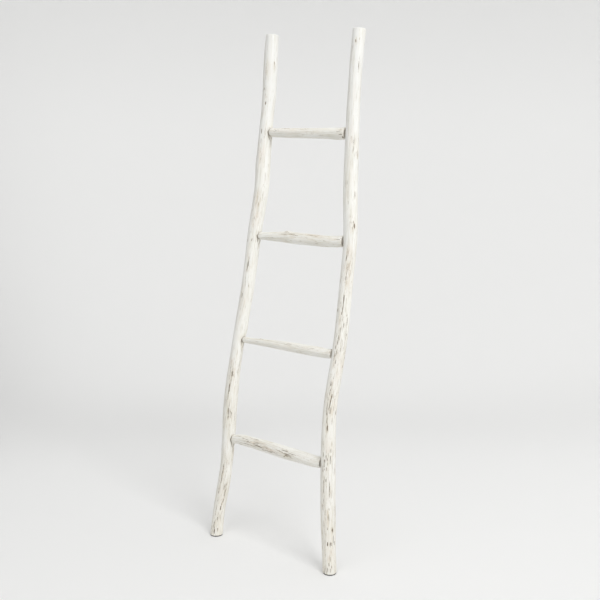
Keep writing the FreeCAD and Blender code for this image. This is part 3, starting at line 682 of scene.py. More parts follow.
# ------------------------------------------------------------------ materials
def new_material(name):
    m = bpy.data.materials.new(name)
    m.use_nodes = True
    nt = m.node_tree
    nt.nodes.clear()
    out = nt.nodes.new("ShaderNodeOutputMaterial")
    bsdf = nt.nodes.new("ShaderNodeBsdfPrincipled")
    nt.links.new(bsdf.outputs["BSDF"], out.inputs["Surface"])
    return m, nt, bsdf


class Nodes:
    """Short hand for a node tree."""

    def __init__(self, nt):
        self.nt = nt

    def link(self, a, b):
        self.nt.links.new(a, b)

    def attribute(self, name):
        n = self.nt.nodes.new("ShaderNodeAttribute")
        n.attribute_name = name
        return n

    def split(self, vec):
        n = self.nt.nodes.new("ShaderNodeSeparateXYZ")
        self.link(vec, n.inputs[0])
        return n.outputs

    def scaled(self, vec, scale, loc=(0, 0, 0)):
        n = self.nt.nodes.new("ShaderNodeMapping")
        n.inputs["Scale"].default_value = scale
        n.inputs["Location"].default_value = loc
        self.link(vec, n.inputs["Vector"])
        return n.outputs["Vector"]

    def noise(self, vec, scale=1.0, detail=3.0, rough=0.55, distort=0.0):
        n = self.nt.nodes.new("ShaderNodeTexNoise")
        n.inputs["Scale"].default_value = scale
        n.inputs["Detail"].default_value = detail
        n.inputs["Roughness"].default_value = rough
        n.inputs["Distortion"].default_value = distort
        self.link(vec, n.inputs["Vector"])
        return n.outputs["Fac"]

    def math(self, op, a, b=None, clamp=False):
        n = self.nt.nodes.new("ShaderNodeMath")
        n.operation = op
        n.use_clamp = clamp
        for k, x in enumerate((a, b)):
            if x is None:
                continue
            if isinstance(x, (int, float)):
                n.inputs[k].default_value = x
            else:
                self.link(x, n.inputs[k])
        return n.outputs[0]

    def ramp(self, x, lo, hi, out_lo=0.0, out_hi=1.0):
        n = self.nt.nodes.new("ShaderNodeMapRange")
        n.interpolation_type = "SMOOTHSTEP"
        n.inputs["From Min"].default_value = lo
        n.inputs["From Max"].default_value = hi
        n.inputs["To Min"].default_value = out_lo
        n.inputs["To Max"].default_value = out_hi
        self.link(x, n.inputs["Value"])
        return n.outputs["Result"]

    def mix(self, fac, a, b):
        n = self.nt.nodes.new("ShaderNodeMix")
        n.data_type = "RGBA"
        self.link(fac, n.inputs["Factor"]) if not isinstance(fac, float) else setattr(n.inputs["Factor"], "default_value", fac)
        for sock, x in ((n.inputs[6], a), (n.inputs[7], b)):
            if isinstance(x, tuple):
                sock.default_value = (*x, 1.0)
            else:
                self.link(x, sock)
        return n.outputs[2]

    def bump(self, height, strength, distance, normal=None):
        n = self.nt.nodes.new("ShaderNodeBump")
        n.inputs["Strength"].default_value = strength
        n.inputs["Distance"].default_value = distance
        self.link(height, n.inputs["Height"])
        if normal is not None:
            self.link(normal, n.inputs["Normal"])
        return n.outputs["Normal"]


def whitewash():
    """Chalky paint over a peeled branch: creamy where thin, bare and dark in the cracks."""
    m, nt, bsdf = new_material("whitewashed_branch")
    k = Nodes(nt)
    grain = k.attribute("grain").outputs["Vector"]
    marks = k.split(k.attribute("marks").outputs["Vector"])      # cracks, faint lines, painted shade at the joints
    tint = k.split(k.attribute("tint").outputs["Vector"])        # worn, pink, height
    fibre = k.noise(k.scaled(grain, (700, 700, 42)), 1.0, 4.0, 0.6)
    fibre2 = k.noise(k.scaled(grain, (240, 240, 14), (3, 1, 2)), 1.0, 3.0, 0.55)
    cloud = k.noise(k.scaled(grain, (26, 26, 9), (1, 5, 2)), 1.0, 3.0, 0.55)
    cloud2 = k.noise(k.scaled(grain, (9, 9, 4), (7, 5, 2)), 1.0, 2.0, 0.5)
    speck = k.noise(k.scaled(grain, (900, 900, 500), (4, 4, 4)), 1.0, 2.0, 0.6)

    strand = k.noise(k.scaled(grain, (330, 330, 26), (5, 3, 8)), 1.0, 4.0, 0.62)
    white = k.mix(k.ramp(cloud, 0.36, 0.66), (0.912, 0.912, 0.882), (0.872, 0.867, 0.818))
    white = k.mix(k.ramp(cloud2, 0.42, 0.66, 0.0, 0.55), white, (0.885, 0.885, 0.848))
    # painted shade: the paint is darkened towards the top, which stands nearest to the light
    place = k.split(grain)
    white = k.mix(k.ramp(place[2], 1.25, 1.72, 0.0, 0.55), white, (0.785, 0.783, 0.760))
    # brush strokes and raised fibres: thinner paint in the hollows
    hollow = k.math("ADD", fibre2, k.math("MULTIPLY", tint[0], 0.09))
    white = k.mix(k.ramp(hollow, 0.50, 0.70, 0.0, 0.72), white, (0.725, 0.710, 0.635))
    worn = k.math("MULTIPLY", tint[0], k.ramp(strand, 0.34, 0.60, 0.25, 1.35), True)
    body = k.mix(k.math("MULTIPLY", worn, 0.80), white, (0.715, 0.635, 0.505))
    pink = k.math("MULTIPLY", tint[1], k.ramp(cloud, 0.35, 0.65, 0.5, 1.1), True)
    body = k.mix(k.math("MULTIPLY", pink, 0.6), body, (0.84, 0.745, 0.70))
    # grey lines where the grain shows through
    ragged = k.math("ADD", k.math("MULTIPLY", marks[1], 0.9),
                    k.math("MULTIPLY", k.math("SUBTRACT", strand, 0.5), 1.7))
    faint = k.ramp(ragged, 0.22, 0.62, 0.0, 0.74)
    body = k.mix(faint, body, (0.455, 0.415, 0.340))
    # flecks of missing paint, more where it is worn
    fleck = k.math("ADD", fibre, k.math("MULTIPLY", tint[0], 0.20))
    body = k.mix(k.ramp(fleck, 0.67, 0.76, 0.0, 0.80), body, (0.40, 0.335, 0.25))
    # cracks down to the wood
    torn = k.math("ADD", marks[0], k.math("MULTIPLY", k.math("SUBTRACT", fibre, 0.5), 1.5))
    rim = k.ramp(torn, 0.20, 0.46, 0.0, 0.62)
    body = k.mix(rim, body, (0.50, 0.435, 0.34))
    crack = k.ramp(torn, 0.42, 0.66)
    body = k.mix(k.math("MULTIPLY", crack, 0.93), body, (0.130, 0.100, 0.072))
    # painted shade where the pieces meet, and the dark line round each peg
    dirt_and_shade = k.math("MULTIPLY", marks[2], k.ramp(cloud, 0.3, 0.65, 0.75, 1.15), True)
    body = k.mix(dirt_and_shade, body, (0.17, 0.135, 0.095))
    k.link(body, bsdf.inputs["Base Color"])
    rough = k.math("ADD", k.ramp(cloud, 0.3, 0.7, 0.70, 0.80), k.math("MULTIPLY", crack, 0.14), True)
    rough = k.math("SUBTRACT", rough, k.math("MULTIPLY", worn, 0.10), True)
    k.link(rough, bsdf.inputs["Roughness"])
    bsdf.inputs["Specular IOR Level"].default_value = 0.32
    h = k.math("ADD", k.math("MULTIPLY", fibre, 0.55), k.math("MULTIPLY", speck, 0.28))
    h = k.math("SUBTRACT", h, k.math("MULTIPLY", crack, 0.7))
    h = k.math("SUBTRACT", h, k.math("MULTIPLY", faint, 0.35))
    k.link(k.bump(h, 0.55, 0.0006), bsdf.inputs["Normal"])
    return m


def end_grain():
    """Sawn ends under the same paint: growth rings, checks and a darker pith."""
    m, nt, bsdf = new_material("whitewashed_end_grain")
    k = Nodes(nt)
    local = k.attribute("local").outputs["Vector"]               # across, across, height, metres
    marks = k.split(k.attribute("marks").outputs["Vector"])
    warp = k.noise(k.scaled(local, (38, 38, 38)), 1.0, 2.0, 0.5)
    p = k.split(local)
    dist = nt.nodes.new("ShaderNodeVectorMath")
    dist.operation = "LENGTH"
    k.link(k.scaled(local, (1, 1, 0)), dist.inputs[0])
    ring = k.math("ADD", k.math("MULTIPLY", dist.outputs["Value"], 560.0), k.math("MULTIPLY", warp, 5.0))
    wave = k.math("FRACT", ring)
    line = k.ramp(wave, 0.55, 0.95, 0.0, 0.75)
    saw = k.noise(k.scaled(local, (900, 120, 120)), 1.0, 3.0, 0.6)
    white = k.mix(k.ramp(warp, 0.35, 0.65), (0.86, 0.85, 0.81), (0.80, 0.775, 0.715))
    body = k.mix(line, white, (0.62, 0.54, 0.42))
    body = k.mix(k.ramp(saw, 0.55, 0.75, 0.0, 0.35), body, (0.66, 0.61, 0.53))
    crack = k.ramp(k.math("ADD", marks[0], k.math("MULTIPLY", k.math("SUBTRACT", saw, 0.5), 0.3)), 0.3, 0.6)
    body = k.mix(k.math("MULTIPLY", crack, 0.92), body, (0.15, 0.115, 0.08))
    body = k.mix(k.math("MULTIPLY", marks[2], 0.9, True), body, (0.26, 0.215, 0.16))
    k.link(body, bsdf.inputs["Base Color"])
    k.link(k.ramp(saw, 0.3, 0.7, 0.78, 0.9), bsdf.inputs["Roughness"])
    bsdf.inputs["Specular IOR Level"].default_value = 0.25
    h = k.math("SUBTRACT", k.math("MULTIPLY", saw, 0.6), k.math("MULTIPLY", line, 0.5))
    k.link(k.bump(h, 0.5, 0.0006), bsdf.inputs["Normal"])
    return m


def bare_wood():
    """Unpainted wood inside the sockets and on the tenons."""
    m, nt, bsdf = new_material("bare_wood")
    k = Nodes(nt)
    grain = k.attribute("grain").outputs["Vector"]
    fibre = k.noise(k.scaled(grain, (420, 420, 60)), 1.0, 4.0, 0.6)
    body = k.mix(k.ramp(fibre, 0.35, 0.7), (0.42, 0.32, 0.21), (0.24, 0.175, 0.11))
    k.link(body, bsdf.inputs["Base Color"])
    k.link(k.ramp(fibre, 0.3, 0.7, 0.7, 0.85), bsdf.inputs["Roughness"])
    bsdf.inputs["Specular IOR Level"].default_value = 0.3
    k.link(k.bump(fibre, 0.4, 0.0005), bsdf.inputs["Normal"])
    return m


def peg_wood():
    """Riven peg, brushed over with the whitewash, its end grain showing through."""
    m, nt, bsdf = new_material("brushed_peg_wood")
    k = Nodes(nt)
    local = k.attribute("local").outputs["Vector"]
    fibre = k.noise(k.scaled(local, (1500, 1500, 130)), 1.0, 4.0, 0.6)
    dab = k.noise(k.scaled(local, (420, 420, 420)), 1.0, 2.0, 0.5)
    dist = nt.nodes.new("ShaderNodeVectorMath")
    dist.operation = "LENGTH"
    k.link(k.scaled(local, (1, 1, 0)), dist.inputs[0])
    wave = k.math("FRACT", k.math("ADD", k.math("MULTIPLY", dist.outputs["Value"], 1300.0), k.math("MULTIPLY", dab, 2.0)))
    wood = k.mix(k.ramp(fibre, 0.35, 0.68), (0.60, 0.48, 0.33), (0.40, 0.29, 0.18))
    wood = k.mix(k.ramp(wave, 0.6, 0.95, 0.0, 0.45), wood, (0.34, 0.24, 0.15))
    body = k.mix(k.ramp(dab, 0.44, 0.62, 0.10, 0.66), wood, (0.80, 0.775, 0.71))
    k.link(body, bsdf.inputs["Base Color"])
    k.link(k.ramp(dab, 0.3, 0.7, 0.68, 0.84), bsdf.inputs["Roughness"])
    bsdf.inputs["Specular IOR Level"].default_value = 0.3
    k.link(k.bump(fibre, 0.5, 0.0004), bsdf.inputs["Normal"])
    return m


def pad_rubber():
    """Dark anti-slip rubber with a pebbled skin, dusty along its edge."""
    m, nt, bsdf = new_material("dark_foot_rubber")
    k = Nodes(nt)
    local = k.attribute("local").outputs["Vector"]
    vor = nt.nodes.new("ShaderNodeTexVoronoi")
    vor.inputs["Scale"].default_value = 1100.0
    k.link(local, vor.inputs["Vector"])
    dust = k.noise(k.scaled(local, (160, 160, 160)), 1.0, 4.0, 0.6)
    body = k.mix(k.ramp(dust, 0.42, 0.70, 0.0, 0.5), (0.040, 0.039, 0.037), (0.135, 0.13, 0.12))
    k.link(body, bsdf.inputs["Base Color"])
    k.link(k.ramp(dust, 0.3, 0.7, 0.72, 0.9), bsdf.inputs["Roughness"])
    bsdf.inputs["Specular IOR Level"].default_value = 0.3
    k.link(k.bump(vor.outputs["Distance"], 0.5, 0.0003), bsdf.inputs["Normal"])
    return m


SKIN, ENDS, BARE, PEG, PAD = whitewash(), end_grain(), bare_wood(), peg_wood(), pad_rubber()


# ------------------------------------------------------------------ rails
ROUND = 128                # points round a rail
E_EASE = 3.0               # rounding of the sawn ends, as built


def nearer(v):
    """How much higher on the skin a mark lies than the spot of the centre line that it hides."""
    return 22.0 * math.tan(math.atan((1476.0 - 0.989 * v) / 3050.0) - math.radians(6.6))


def rail_skin(rail, flaws, eyes, worn, dense, seed, facets):
    sk = Skin(RAIL_LENGTH, 24.0, seed)
    flaws, worn, eyes = [[(m[0] + nearer(m[0]),) + tuple(m[1:]) for m in rows]
                         for rows in (flaws, worn, eyes)]
    for e in eyes:
        sk.eye(*e)
    for w in worn:
        sk.thin(*w)
    for f in flaws:
        sk.flaw(*f)
    dv = np.array([d[0] for d in dense], float)
    dd = np.array([d[1] for d in dense], float)
    clear = [(e[0], e[1], 1.3 * e[2], 30) for e in eyes]
    sk.scatter(lambda v: float(np.interp(v, dv, dd)), 1 / 175.0, clear)
    sk.settle(facets)
    # worn a little all over, more low down, as the paint of the lower half is creamier
    low = np.interp(sk.vv, [0, 500, 1100, 1830], [0.33, 0.22, 0.10, 0.03])
    n = sk.noise(sk.cx / 12 + 4, sk.cy / 12, sk.vv / 60.0)
    sk.worn = np.maximum(sk.worn, np.clip(low + 0.16 * n, 0, 1))
    # painted shade round the mouths of the sockets, where rung and rail meet, and rubbed paint
    inner = 0.0 if rail.side < 0 else math.pi
    for rg in rungs:
        v0 = rg.vl if rail.side < 0 else rg.vr
        rs = sk.rows(v0 - 60, v0 + 60)
        du, dw = sk.r * wrap(sk.aa[rs] - inner), sk.vv[rs] - v0
        q = np.hypot(du, dw)
        r_end = 0.45 * SHOULDER_R0 + 0.55 * float(rg.fr(np.float64(0.0 if rail.side < 0 else 1.0)))
        # painted shade: darkens the rail's colour at the rim where the rung enters
        sk.dirt_and_shade[rs] = np.maximum(sk.dirt_and_shade[rs], 0.80 * np.exp(-np.clip(q - r_end + 1.2, 0, 99) / 1.4))
        sk.worn[rs] = np.maximum(sk.worn[rs], 0.30 * np.exp(-((q - 16) / 9.0) ** 2))
        # painted shadow: dark runs below the joint, drawn together to a point, where the rung's shadow falls on the
        # rail; the skin is dented a little along them
        arm = 2.0 + (r_end - 1.0) * np.clip((dw + 36) / 38.0, 0, 1)
        painted_shadow_vee = np.exp(-((np.abs(du) - arm) / 1.5) ** 2) * smooth(-38, -20, dw) * (dw < 3)
        tail = np.exp(-(du / 1.7) ** 2) * smooth(-66, -38, dw) * (dw < -26)
        sk.cracks[rs] = np.maximum(sk.cracks[rs], 0.80 * painted_shadow_vee)
        sk.faint[rs] = np.maximum(sk.faint[rs], 0.85 * tail)
        sk.lift[rs] -= 0.5 * painted_shadow_vee + 0.3 * tail
    # a dark line round each peg
    for side, p, skin in PEGS:
        if side == rail.side:
            v0, a0, _ = rail.back(p + AX_N * skin)
            rs = sk.rows(float(v0) - 12, float(v0) + 12)
            q = np.hypot(sk.r * wrap(sk.aa[rs] - float(a0)), sk.vv[rs] - float(v0))
            sk.dirt_and_shade[rs] = np.maximum(sk.dirt_and_shade[rs], 0.9 * np.exp(-np.clip(q - 3.3, 0, 99) ** 2 / 1.1))
            sk.worn[rs] = np.maximum(sk.worn[rs], 0.55 * np.exp(-(q / 7.0) ** 2))
    return sk


# Drying checks of the sawn ends: angle, nearest and farthest distance from the pith, width, bend.
CHECKS = {-1: [(1.15, 2, 30, 1.0, .22), (2.35, 13, 30, .7, -.3), (4.9, 16, 30, .6, .2), (5.6, 1, 7, .6, .5)],
          1: [(3.75, 1, 30, 1.1, -.18), (5.5, 15, 30, .7, .3), (0.6, 17, 30, .6, -.2), (2.2, 1, 6, .6, .4)]}


def end_checks(rail, d, a):
    """How deep a drying check is at a place of the sawn end, from 0 to 1."""
    out = np.zeros(np.shape(d))
    for ang, near, far, width, bend in CHECKS[rail.side]:
        line = ang + bend * np.sin(d / 6.0 + ang)
        u = d * np.sin(wrap(a - line)) / (width * (0.45 + 0.025 * d))
        out = np.maximum(out, np.exp(-u * u) * (np.cos(wrap(a - line)) > 0)
                         * smooth(near, near + 4, d) * (1 - smooth(far - 3, far, d)))
    return out


def rail_mesh(name, rail, sk):
    a = np.arange(ROUND) * TAU / ROUND
    count = 715
    foot = np.zeros(ROUND)
    for _ in range(8):                      # the saw cut is level, so it is skew to the branch
        p = rail.place(foot, a, rail.radius(foot, a))
        foot = foot + (PAD_THICKNESS - p[:, 2]) / AX_V[2]
    steps = [E_EASE * (1 - math.cos(math.pi / 2 * t)) for t in (0.0, 0.3, 0.55, 0.8, 1.0)]
    # heights of the rows: eased edge, skin, eased edge
    lows = [E_EASE * (1 - math.cos(x)) for x in np.linspace(math.pi / 2, 0, 7)]
    rings, kinds = [], []

    def surface(v):
        r = rail.radius(v, a)
        return r + sk.read(sk.lift, v, a)

    def ring_at(base, inset, lift=0.0):
        r = surface(base) - inset
        return rail.place(base, a, r)

    saw = Noise(77 + int(rail.side))
    # foot: rings from the middle outwards, level with the floor
    outer = rail.place(foot, a, surface(foot) - E_EASE)
    mid = outer.mean(axis=0)
    for f in np.linspace(0.08, 0.999, 15):
        p = mid + (outer - mid) * f
        rings.append(p)
        kinds.append(1)
    kinds[-1] = 0
    rows = []
    for x in np.linspace(0.12, math.pi / 2, 6):
        rows.append((E_EASE * (1 - math.cos(x)), E_EASE * (1 - math.sin(x))))
    for up, inset in rows:
        base = foot + up
        rings.append(ring_at(base, inset))
        kinds.append(0)
    vs = np.linspace(0, 1, count)
    bottom, top = foot + rows[-1][0], RAIL_LENGTH - E_EASE
    for t in vs[1:]:
        base = bottom * (1 - t) + top * t
        # the skew of the foot's rows is gone within 90 mm
        level = (bottom.mean() * (1 - t) + top * t)
        f = smooth(0, 90, np.full(ROUND, level - bottom.mean()))
        base = base * (1 - f) + level * f
        rings.append(ring_at(base, 0.0))
        kinds.append(0)
    for x in np.linspace(0, math.pi / 2, 7)[1:]:
        base = np.full(ROUND, RAIL_LENGTH - E_EASE + E_EASE * math.sin(x))
        rings.append(ring_at(base, E_EASE * (1 - math.cos(x))))
        kinds.append(0)
    kinds[-1] = 1
    outer = rings[-1]
    mid = outer.mean(axis=0)
    for f in np.linspace(0.97, 0.08, 15):
        p = mid + (outer - mid) * f
        # radial checks and the saw's ripple, only ever inwards
        rr = np.linalg.norm(p - mid, axis=1)
        dip = 0.18 + 0.12 * saw(p[:, 0] / 2.0, p[:, 1] / 9.0, 0.5)
        dip = dip + 1.3 * end_checks(rail, rr, a)
        edge = smooth(0.97, 0.9, np.full(ROUND, f)) if f < 0.97 else np.zeros(ROUND)
        rings.append(p - AX_V * (dip * (f < 0.965))[:, None])
        kinds.append(1)
    me = grid_mesh(name, rings, kinds)
    return me


def cutters_for(side):
    out = []
    for rg in rungs:
        at, axis = (rg.a, rg.dir) if side < 0 else (rg.b, -rg.dir)
        out.append(rod("socket", at - axis * SOCKET_PAST_CENTRE, axis,
                       [(0, SOCKET_R - 0.6), (0.6, SOCKET_R), (30, SOCKET_R), (60, SOCKET_R)], 48, 2))
    return out


def peg_sets():
    out = []
    for rg in rungs:
        for rail, at, sign, v in ((left, rg.a, 1, rg.vl), (right, rg.b, -1, rg.vr)):
            p = at + rg.dir * (sign * PEG_FROM_CENTRE)
            r90 = float(rail.radius(np.float64(v), math.pi / 2))
            ang = math.pi / 2 - sign * math.asin(PEG_FROM_CENTRE / r90)
            skin = float(rail.radius(np.float64(v), ang)) * math.sin(ang)
            out.append((rail.side, p, skin))
    return out


PEGS = peg_sets()
RAIL_CUT = {-1: cutters_for(-1), 1: cutters_for(1)}
for side, p, skin in PEGS:
    RAIL_CUT[side].append(rod("peg_hole", p - AX_N * (PEG_PAST_AXIS + 0.5), AX_N,
                              [(0, PEG_HOLE_R), (PEG_PAST_AXIS, PEG_HOLE_R),
                               (PEG_PAST_AXIS + 0.5 + skin + 15, PEG_HOLE_R)], 24, 2))


def finish_branch(ob, shape, sk, total, strips, radius, body="root"):
    """Writes the marks to the mesh, and its bake map and shading, and attaches it to its body."""
    me = ob.data
    p = from_scene(coords(me))
    along, angle, dist = shape.back(p)
    base = shape.radius(along, angle)
    inner = smooth(1.2, 3.5, base - dist)
    skin_v = np.clip(along, 0, total)
    cracks = sk.read(sk.cracks, skin_v, angle)
    faint = sk.read(sk.faint, skin_v, angle)
    worn = sk.read(sk.worn, skin_v, angle)
    pink = sk.read(sk.pink, skin_v, angle)
    dirt_and_shade = sk.read(sk.dirt_and_shade, skin_v, angle)
    turn = sk.read(sk.turn, skin_v, angle)
    g = angle + turn
    rr = sk.r / 1000.0
    put(me, "grain", np.stack([rr * np.cos(g), rr * np.sin(g), along / 1000.0], -1))
    put(me, "marks", np.stack([cracks, faint, np.clip(dirt_and_shade, 0, 1)], -1))
    put(me, "tint", np.stack([worn, pink, np.zeros_like(worn)], -1))
    put(me, "local", np.stack([dist * np.cos(angle), dist * np.sin(angle), along], -1) / 1000.0)
    bake_map(me, along, angle, dist, total, strips, radius)
    me.polygons.foreach_set("use_smooth", np.ones(len(me.polygons), bool))
    me.set_sharp_from_angle(angle=math.radians(58))
    me.update()
    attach(ob, body)


SKINS = {}
for name, rail, flaws, eyes, worn, dense, seed, facets in (
        ("left_rail", left, LEFT_FLAWS, LEFT_EYES, LEFT_WORN, LEFT_DENSE, 11, 9),
        ("right_rail", right, RIGHT_FLAWS, RIGHT_EYES, RIGHT_WORN, RIGHT_DENSE, 23, 10)):
    sk = rail_skin(rail, flaws, eyes, worn, dense, seed, facets)
    ob = make_object("branch_" + name, rail_mesh("branch_" + name, rail, sk))
    for mat in (SKIN, ENDS, BARE):
        ob.data.materials.append(mat)
    cut_with(ob, RAIL_CUT[rail.side])
    # checks of the sawn ends go into the marks too
    finish_branch(ob, rail, sk, RAIL_LENGTH, 4, 26.0)
    me = ob.data
    p = from_scene(coords(me))
    v, a, d = rail.back(p)
    at = me.attributes["marks"]
    vals = np.empty(len(me.vertices) * 3, np.float32)
    at.data.foreach_get("vector", vals)
    vals = vals.reshape(-1, 3)
    top = (v > RAIL_LENGTH - 1.9) & (d < rail.radius(v, a) - 3.2)
    foot = (p[:, 2] < PAD_THICKNESS + 0.05)
    dark = np.zeros(len(v))
    dark = np.maximum(end_checks(rail, d, a), 0.55 * np.exp(-(d / 1.5) ** 2))
    ends = top | foot
    vals[ends, 0] = dark[ends]
    vals[ends, 1] = 0
    vals[ends, 2] = np.where(foot[ends], 0.35, 0.0)
    at.data.foreach_set("vector", vals.ravel())
    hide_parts(name)
    SKINS[name] = sk


# ------------------------------------------------------------------ rungs
def rung_skin(number, rg):
    sk = Skin(rg.length, 19.0, 101 + 13 * number, rows_mm=1.3, columns=120)
    for _, kt, ka, rise, hl, hw in rg.knots:
        sk.eye(kt * rg.length, ka, hl * 0.6, 6.0, 0.7)
    for w in RUNG_WORN[number]:
        sk.thin(*w)
    for at, deg, run, wide, dark, slant in RUNG_FLAWS[number]:
        sk.flaw(at, deg, run, wide * 0.78, dark * 0.92, slant)
    d = RUNG_DENSE[number]
    sk.scatter(lambda v: d, 1 / 230.0)
    sk.settle(8 + number % 2, lumps=0.8)
    n = sk.noise(sk.cx / 10 + 4, sk.cy / 10, sk.vv / 40.0)
    sk.worn = np.maximum(sk.worn, np.clip(0.22 + 0.18 * n, 0, 1))
    # whittled shoulders: rougher and rubbed close to the rail, with painted shade where the shoulder meets the rail
    for end, sign in ((rg.s0, 1), (rg.s1, -1)):
        q = (sk.vv - end) * sign
        near = np.exp(-np.clip(q, 0, 999) / 9.0)
        chip = sk.noise(sk.cx / 4 + 8, sk.cy / 4, sk.vv / 5.0)
        sk.lift += near * 0.55 * chip
        sk.worn = np.maximum(sk.worn, 0.5 * near * np.clip(0.7 + chip, 0, 1))
        # painted shade: the last millimetres of each shoulder are darkened where it meets the rail
        sk.dirt_and_shade = np.maximum(sk.dirt_and_shade, 0.58 * np.exp(-np.clip(q, 0, 999) / 0.8))
        sk.cracks = np.maximum(sk.cracks, 0.8 * near * smooth(0.25, 0.6, chip) * (q > 1))
    return sk


def rail_lift(rail, v, a):
    sk = SKINS["left_rail" if rail.side < 0 else "right_rail"]
    return sk.read(sk.lift, v, a)


def rung_mesh(name, rg, sk):
    count = 96
    a = np.arange(count) * TAU / count
    prof = []
    for end, sign in ((rg.s0, 1), (rg.s1, -1)):
        sm = end + sign * SHOULDER_LENGTH
        rn = float(rg.radius(np.full(24, sm), np.arange(24) * TAU / 24).max()) + 0.3
        h = max(1.5, rn - SHOULDER_START_R)
        prof.append((rn, (SHOULDER_LENGTH ** 2 + h * h) / (2 * h)))

    def limit(s):
        """Height of the turned outline that rounds both shoulders."""
        out = 60.0
        for (rn, rho), d in zip(prof, (s - rg.s0, rg.s1 - s)):
            if d < SHOULDER_LENGTH:
                x = SHOULDER_LENGTH - d
                out = min(out, rn - rho + math.sqrt(max(0.0, rho * rho - x * x)))
        return out

    def soft_min(x, y, k=1.1):
        h = np.clip(0.5 + 0.5 * (y - x) / k, 0, 1)
        return y * (1 - h) + x * h - k * h * (1 - h)

    ends = [SHOULDER_LENGTH * (1 - math.cos(x)) for x in np.linspace(0, math.pi / 2, 14)]
    mid0, mid1 = rg.s0 + SHOULDER_LENGTH, rg.s1 - SHOULDER_LENGTH
    n = int((mid1 - mid0) / 1.7)
    ss = [rg.s0 + e for e in ends] + list(np.linspace(mid0, mid1, n)[1:-1]) + [rg.s1 - e for e in reversed(ends)]
    rings, kinds = [], []

    def tenon(s, r):
        return rg.a + s * rg.dir + (r * np.cos(a))[:, None] * rg.rear + (r * np.sin(a))[:, None] * rg.up

    s_in, s_out = -TENON_PAST_CENTRE, rg.length + TENON_PAST_CENTRE
    one = np.ones(count)
    for s, r in ((s_in, 3.0), (s_in, 6.0), (s_in, TENON_R - 1.2), (s_in + 0.35, TENON_R - 0.35), (s_in + 1.2, TENON_R)):
        rings.append(tenon(s, r * one))
        kinds.append(2)
    for s in np.linspace(s_in + 6, rg.s0 - 0.02, 6):
        rings.append(tenon(s, TENON_R * one))
        kinds.append(2)
    kinds[-2:] = [0, 0]         # paint has run a little way in on the tenon
    for i, s in enumerate(ss):
        r = rg.radius(np.full(count, s), a) + sk.read(sk.lift, np.full(count, s), a)
        lim = limit(s)
        r = soft_min(r, lim * one + 0.35 * sk.read(sk.lift, np.full(count, s), a))
        r = np.maximum(r, TENON_R + 0.25)
        p = rg.place(np.full(count, s), a, r)
        # the shoulder never bites into the rail it meets
        rail, way = (left, 1.0) if s < rg.length / 2 else (right, -1.0)
        if min(s - rg.s0, rg.s1 - s) < 12:
            v_, a_, d_ = rail.back(p)
            room = d_ - rail.radius(v_, a_) - rail_lift(rail, v_, a_)
            p = p + (way * np.clip(0.5 - room, 0, 3))[:, None] * rg.dir
        rings.append(p)
        kinds.append(0)
    for i, s in enumerate(np.linspace(rg.s1 + 0.02, s_out - 6, 6)):
        rings.append(tenon(s, TENON_R * one))
        kinds.append(2 if i else 0)
    for s, r in ((s_out - 1.2, TENON_R), (s_out - 0.35, TENON_R - 0.35), (s_out, TENON_R - 1.2), (s_out, 6.0), (s_out, 3.0)):
        rings.append(tenon(s, r * one))
        kinds.append(2)
    # the rings run along the rung with rear x up against its direction, so they are turned over
    if np.dot(np.cross(rg.rear, rg.up), rg.dir) < 0:
        rings = [r[::-1] for r in rings]
    return grid_mesh(name, rings, kinds)


for i, rg in enumerate(rungs):
    name = "rung_%d" % (i + 1)
    sk = rung_skin(i, rg)
    ob = make_object("branch_" + name, rung_mesh("branch_" + name, rg, sk))
    for mat in (SKIN, ENDS, BARE):
        ob.data.materials.append(mat)
    holes = [rod("peg_hole", p - AX_N * (PEG_PAST_AXIS + 0.5), AX_N,
                 [(0, PEG_HOLE_R), (PEG_PAST_AXIS, PEG_HOLE_R), (PEG_PAST_AXIS + 0.5 + skin + 15, PEG_HOLE_R)], 24, 2)
             for _, p, skin in PEGS[2 * i:2 * i + 2]]
    cut_with(ob, holes)
    finish_branch(ob, rg, sk, rg.length, 2, 20.0)
    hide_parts(name)


# ------------------------------------------------------------------ pegs
def peg_rings(p, skin, seed):
    """A peg riven square and whittled round: faint facets, a domed proud end, a blunt tip."""
    rng = np.random.RandomState(seed)
    count = 28
    a = np.arange(count) * TAU / count
    sx, sy = frame_of(AX_N)
    length = PEG_PAST_AXIS + skin + PEG_PROUD
    ph = rng.rand() * TAU
    fac = PEG_R - 0.10 * (0.5 - 0.5 * np.cos(7 * a + ph))
    rings = []
    stations = [(0.0, 0.35), (0.0, 0.62), (0.25, 0.86), (1.0, 0.985), (4.0, 1.0), (length * 0.5, 1.0)]
    stations += [(length - 3.5, 1.0), (length - 0.75, 0.995), (length - 0.42, 0.94), (length - 0.16, 0.82),
                 (length - 0.04, 0.62), (length, 0.36), (length - 0.02, 0.14)]
    for d, f in stations:
        tilt = 0.12 * np.cos(a - ph) if d > length - 1 else 0.0
        q = p - AX_N * PEG_PAST_AXIS + AX_N * d
        ring = q + (fac * f * np.cos(a))[:, None] * sx + (fac * f * np.sin(a))[:, None] * sy
        if d > length - 1:
            ring = ring - (np.clip(tilt * f, 0, 1) * np.ones(count))[:, None] * AX_N
        rings.append(ring)
    return rings


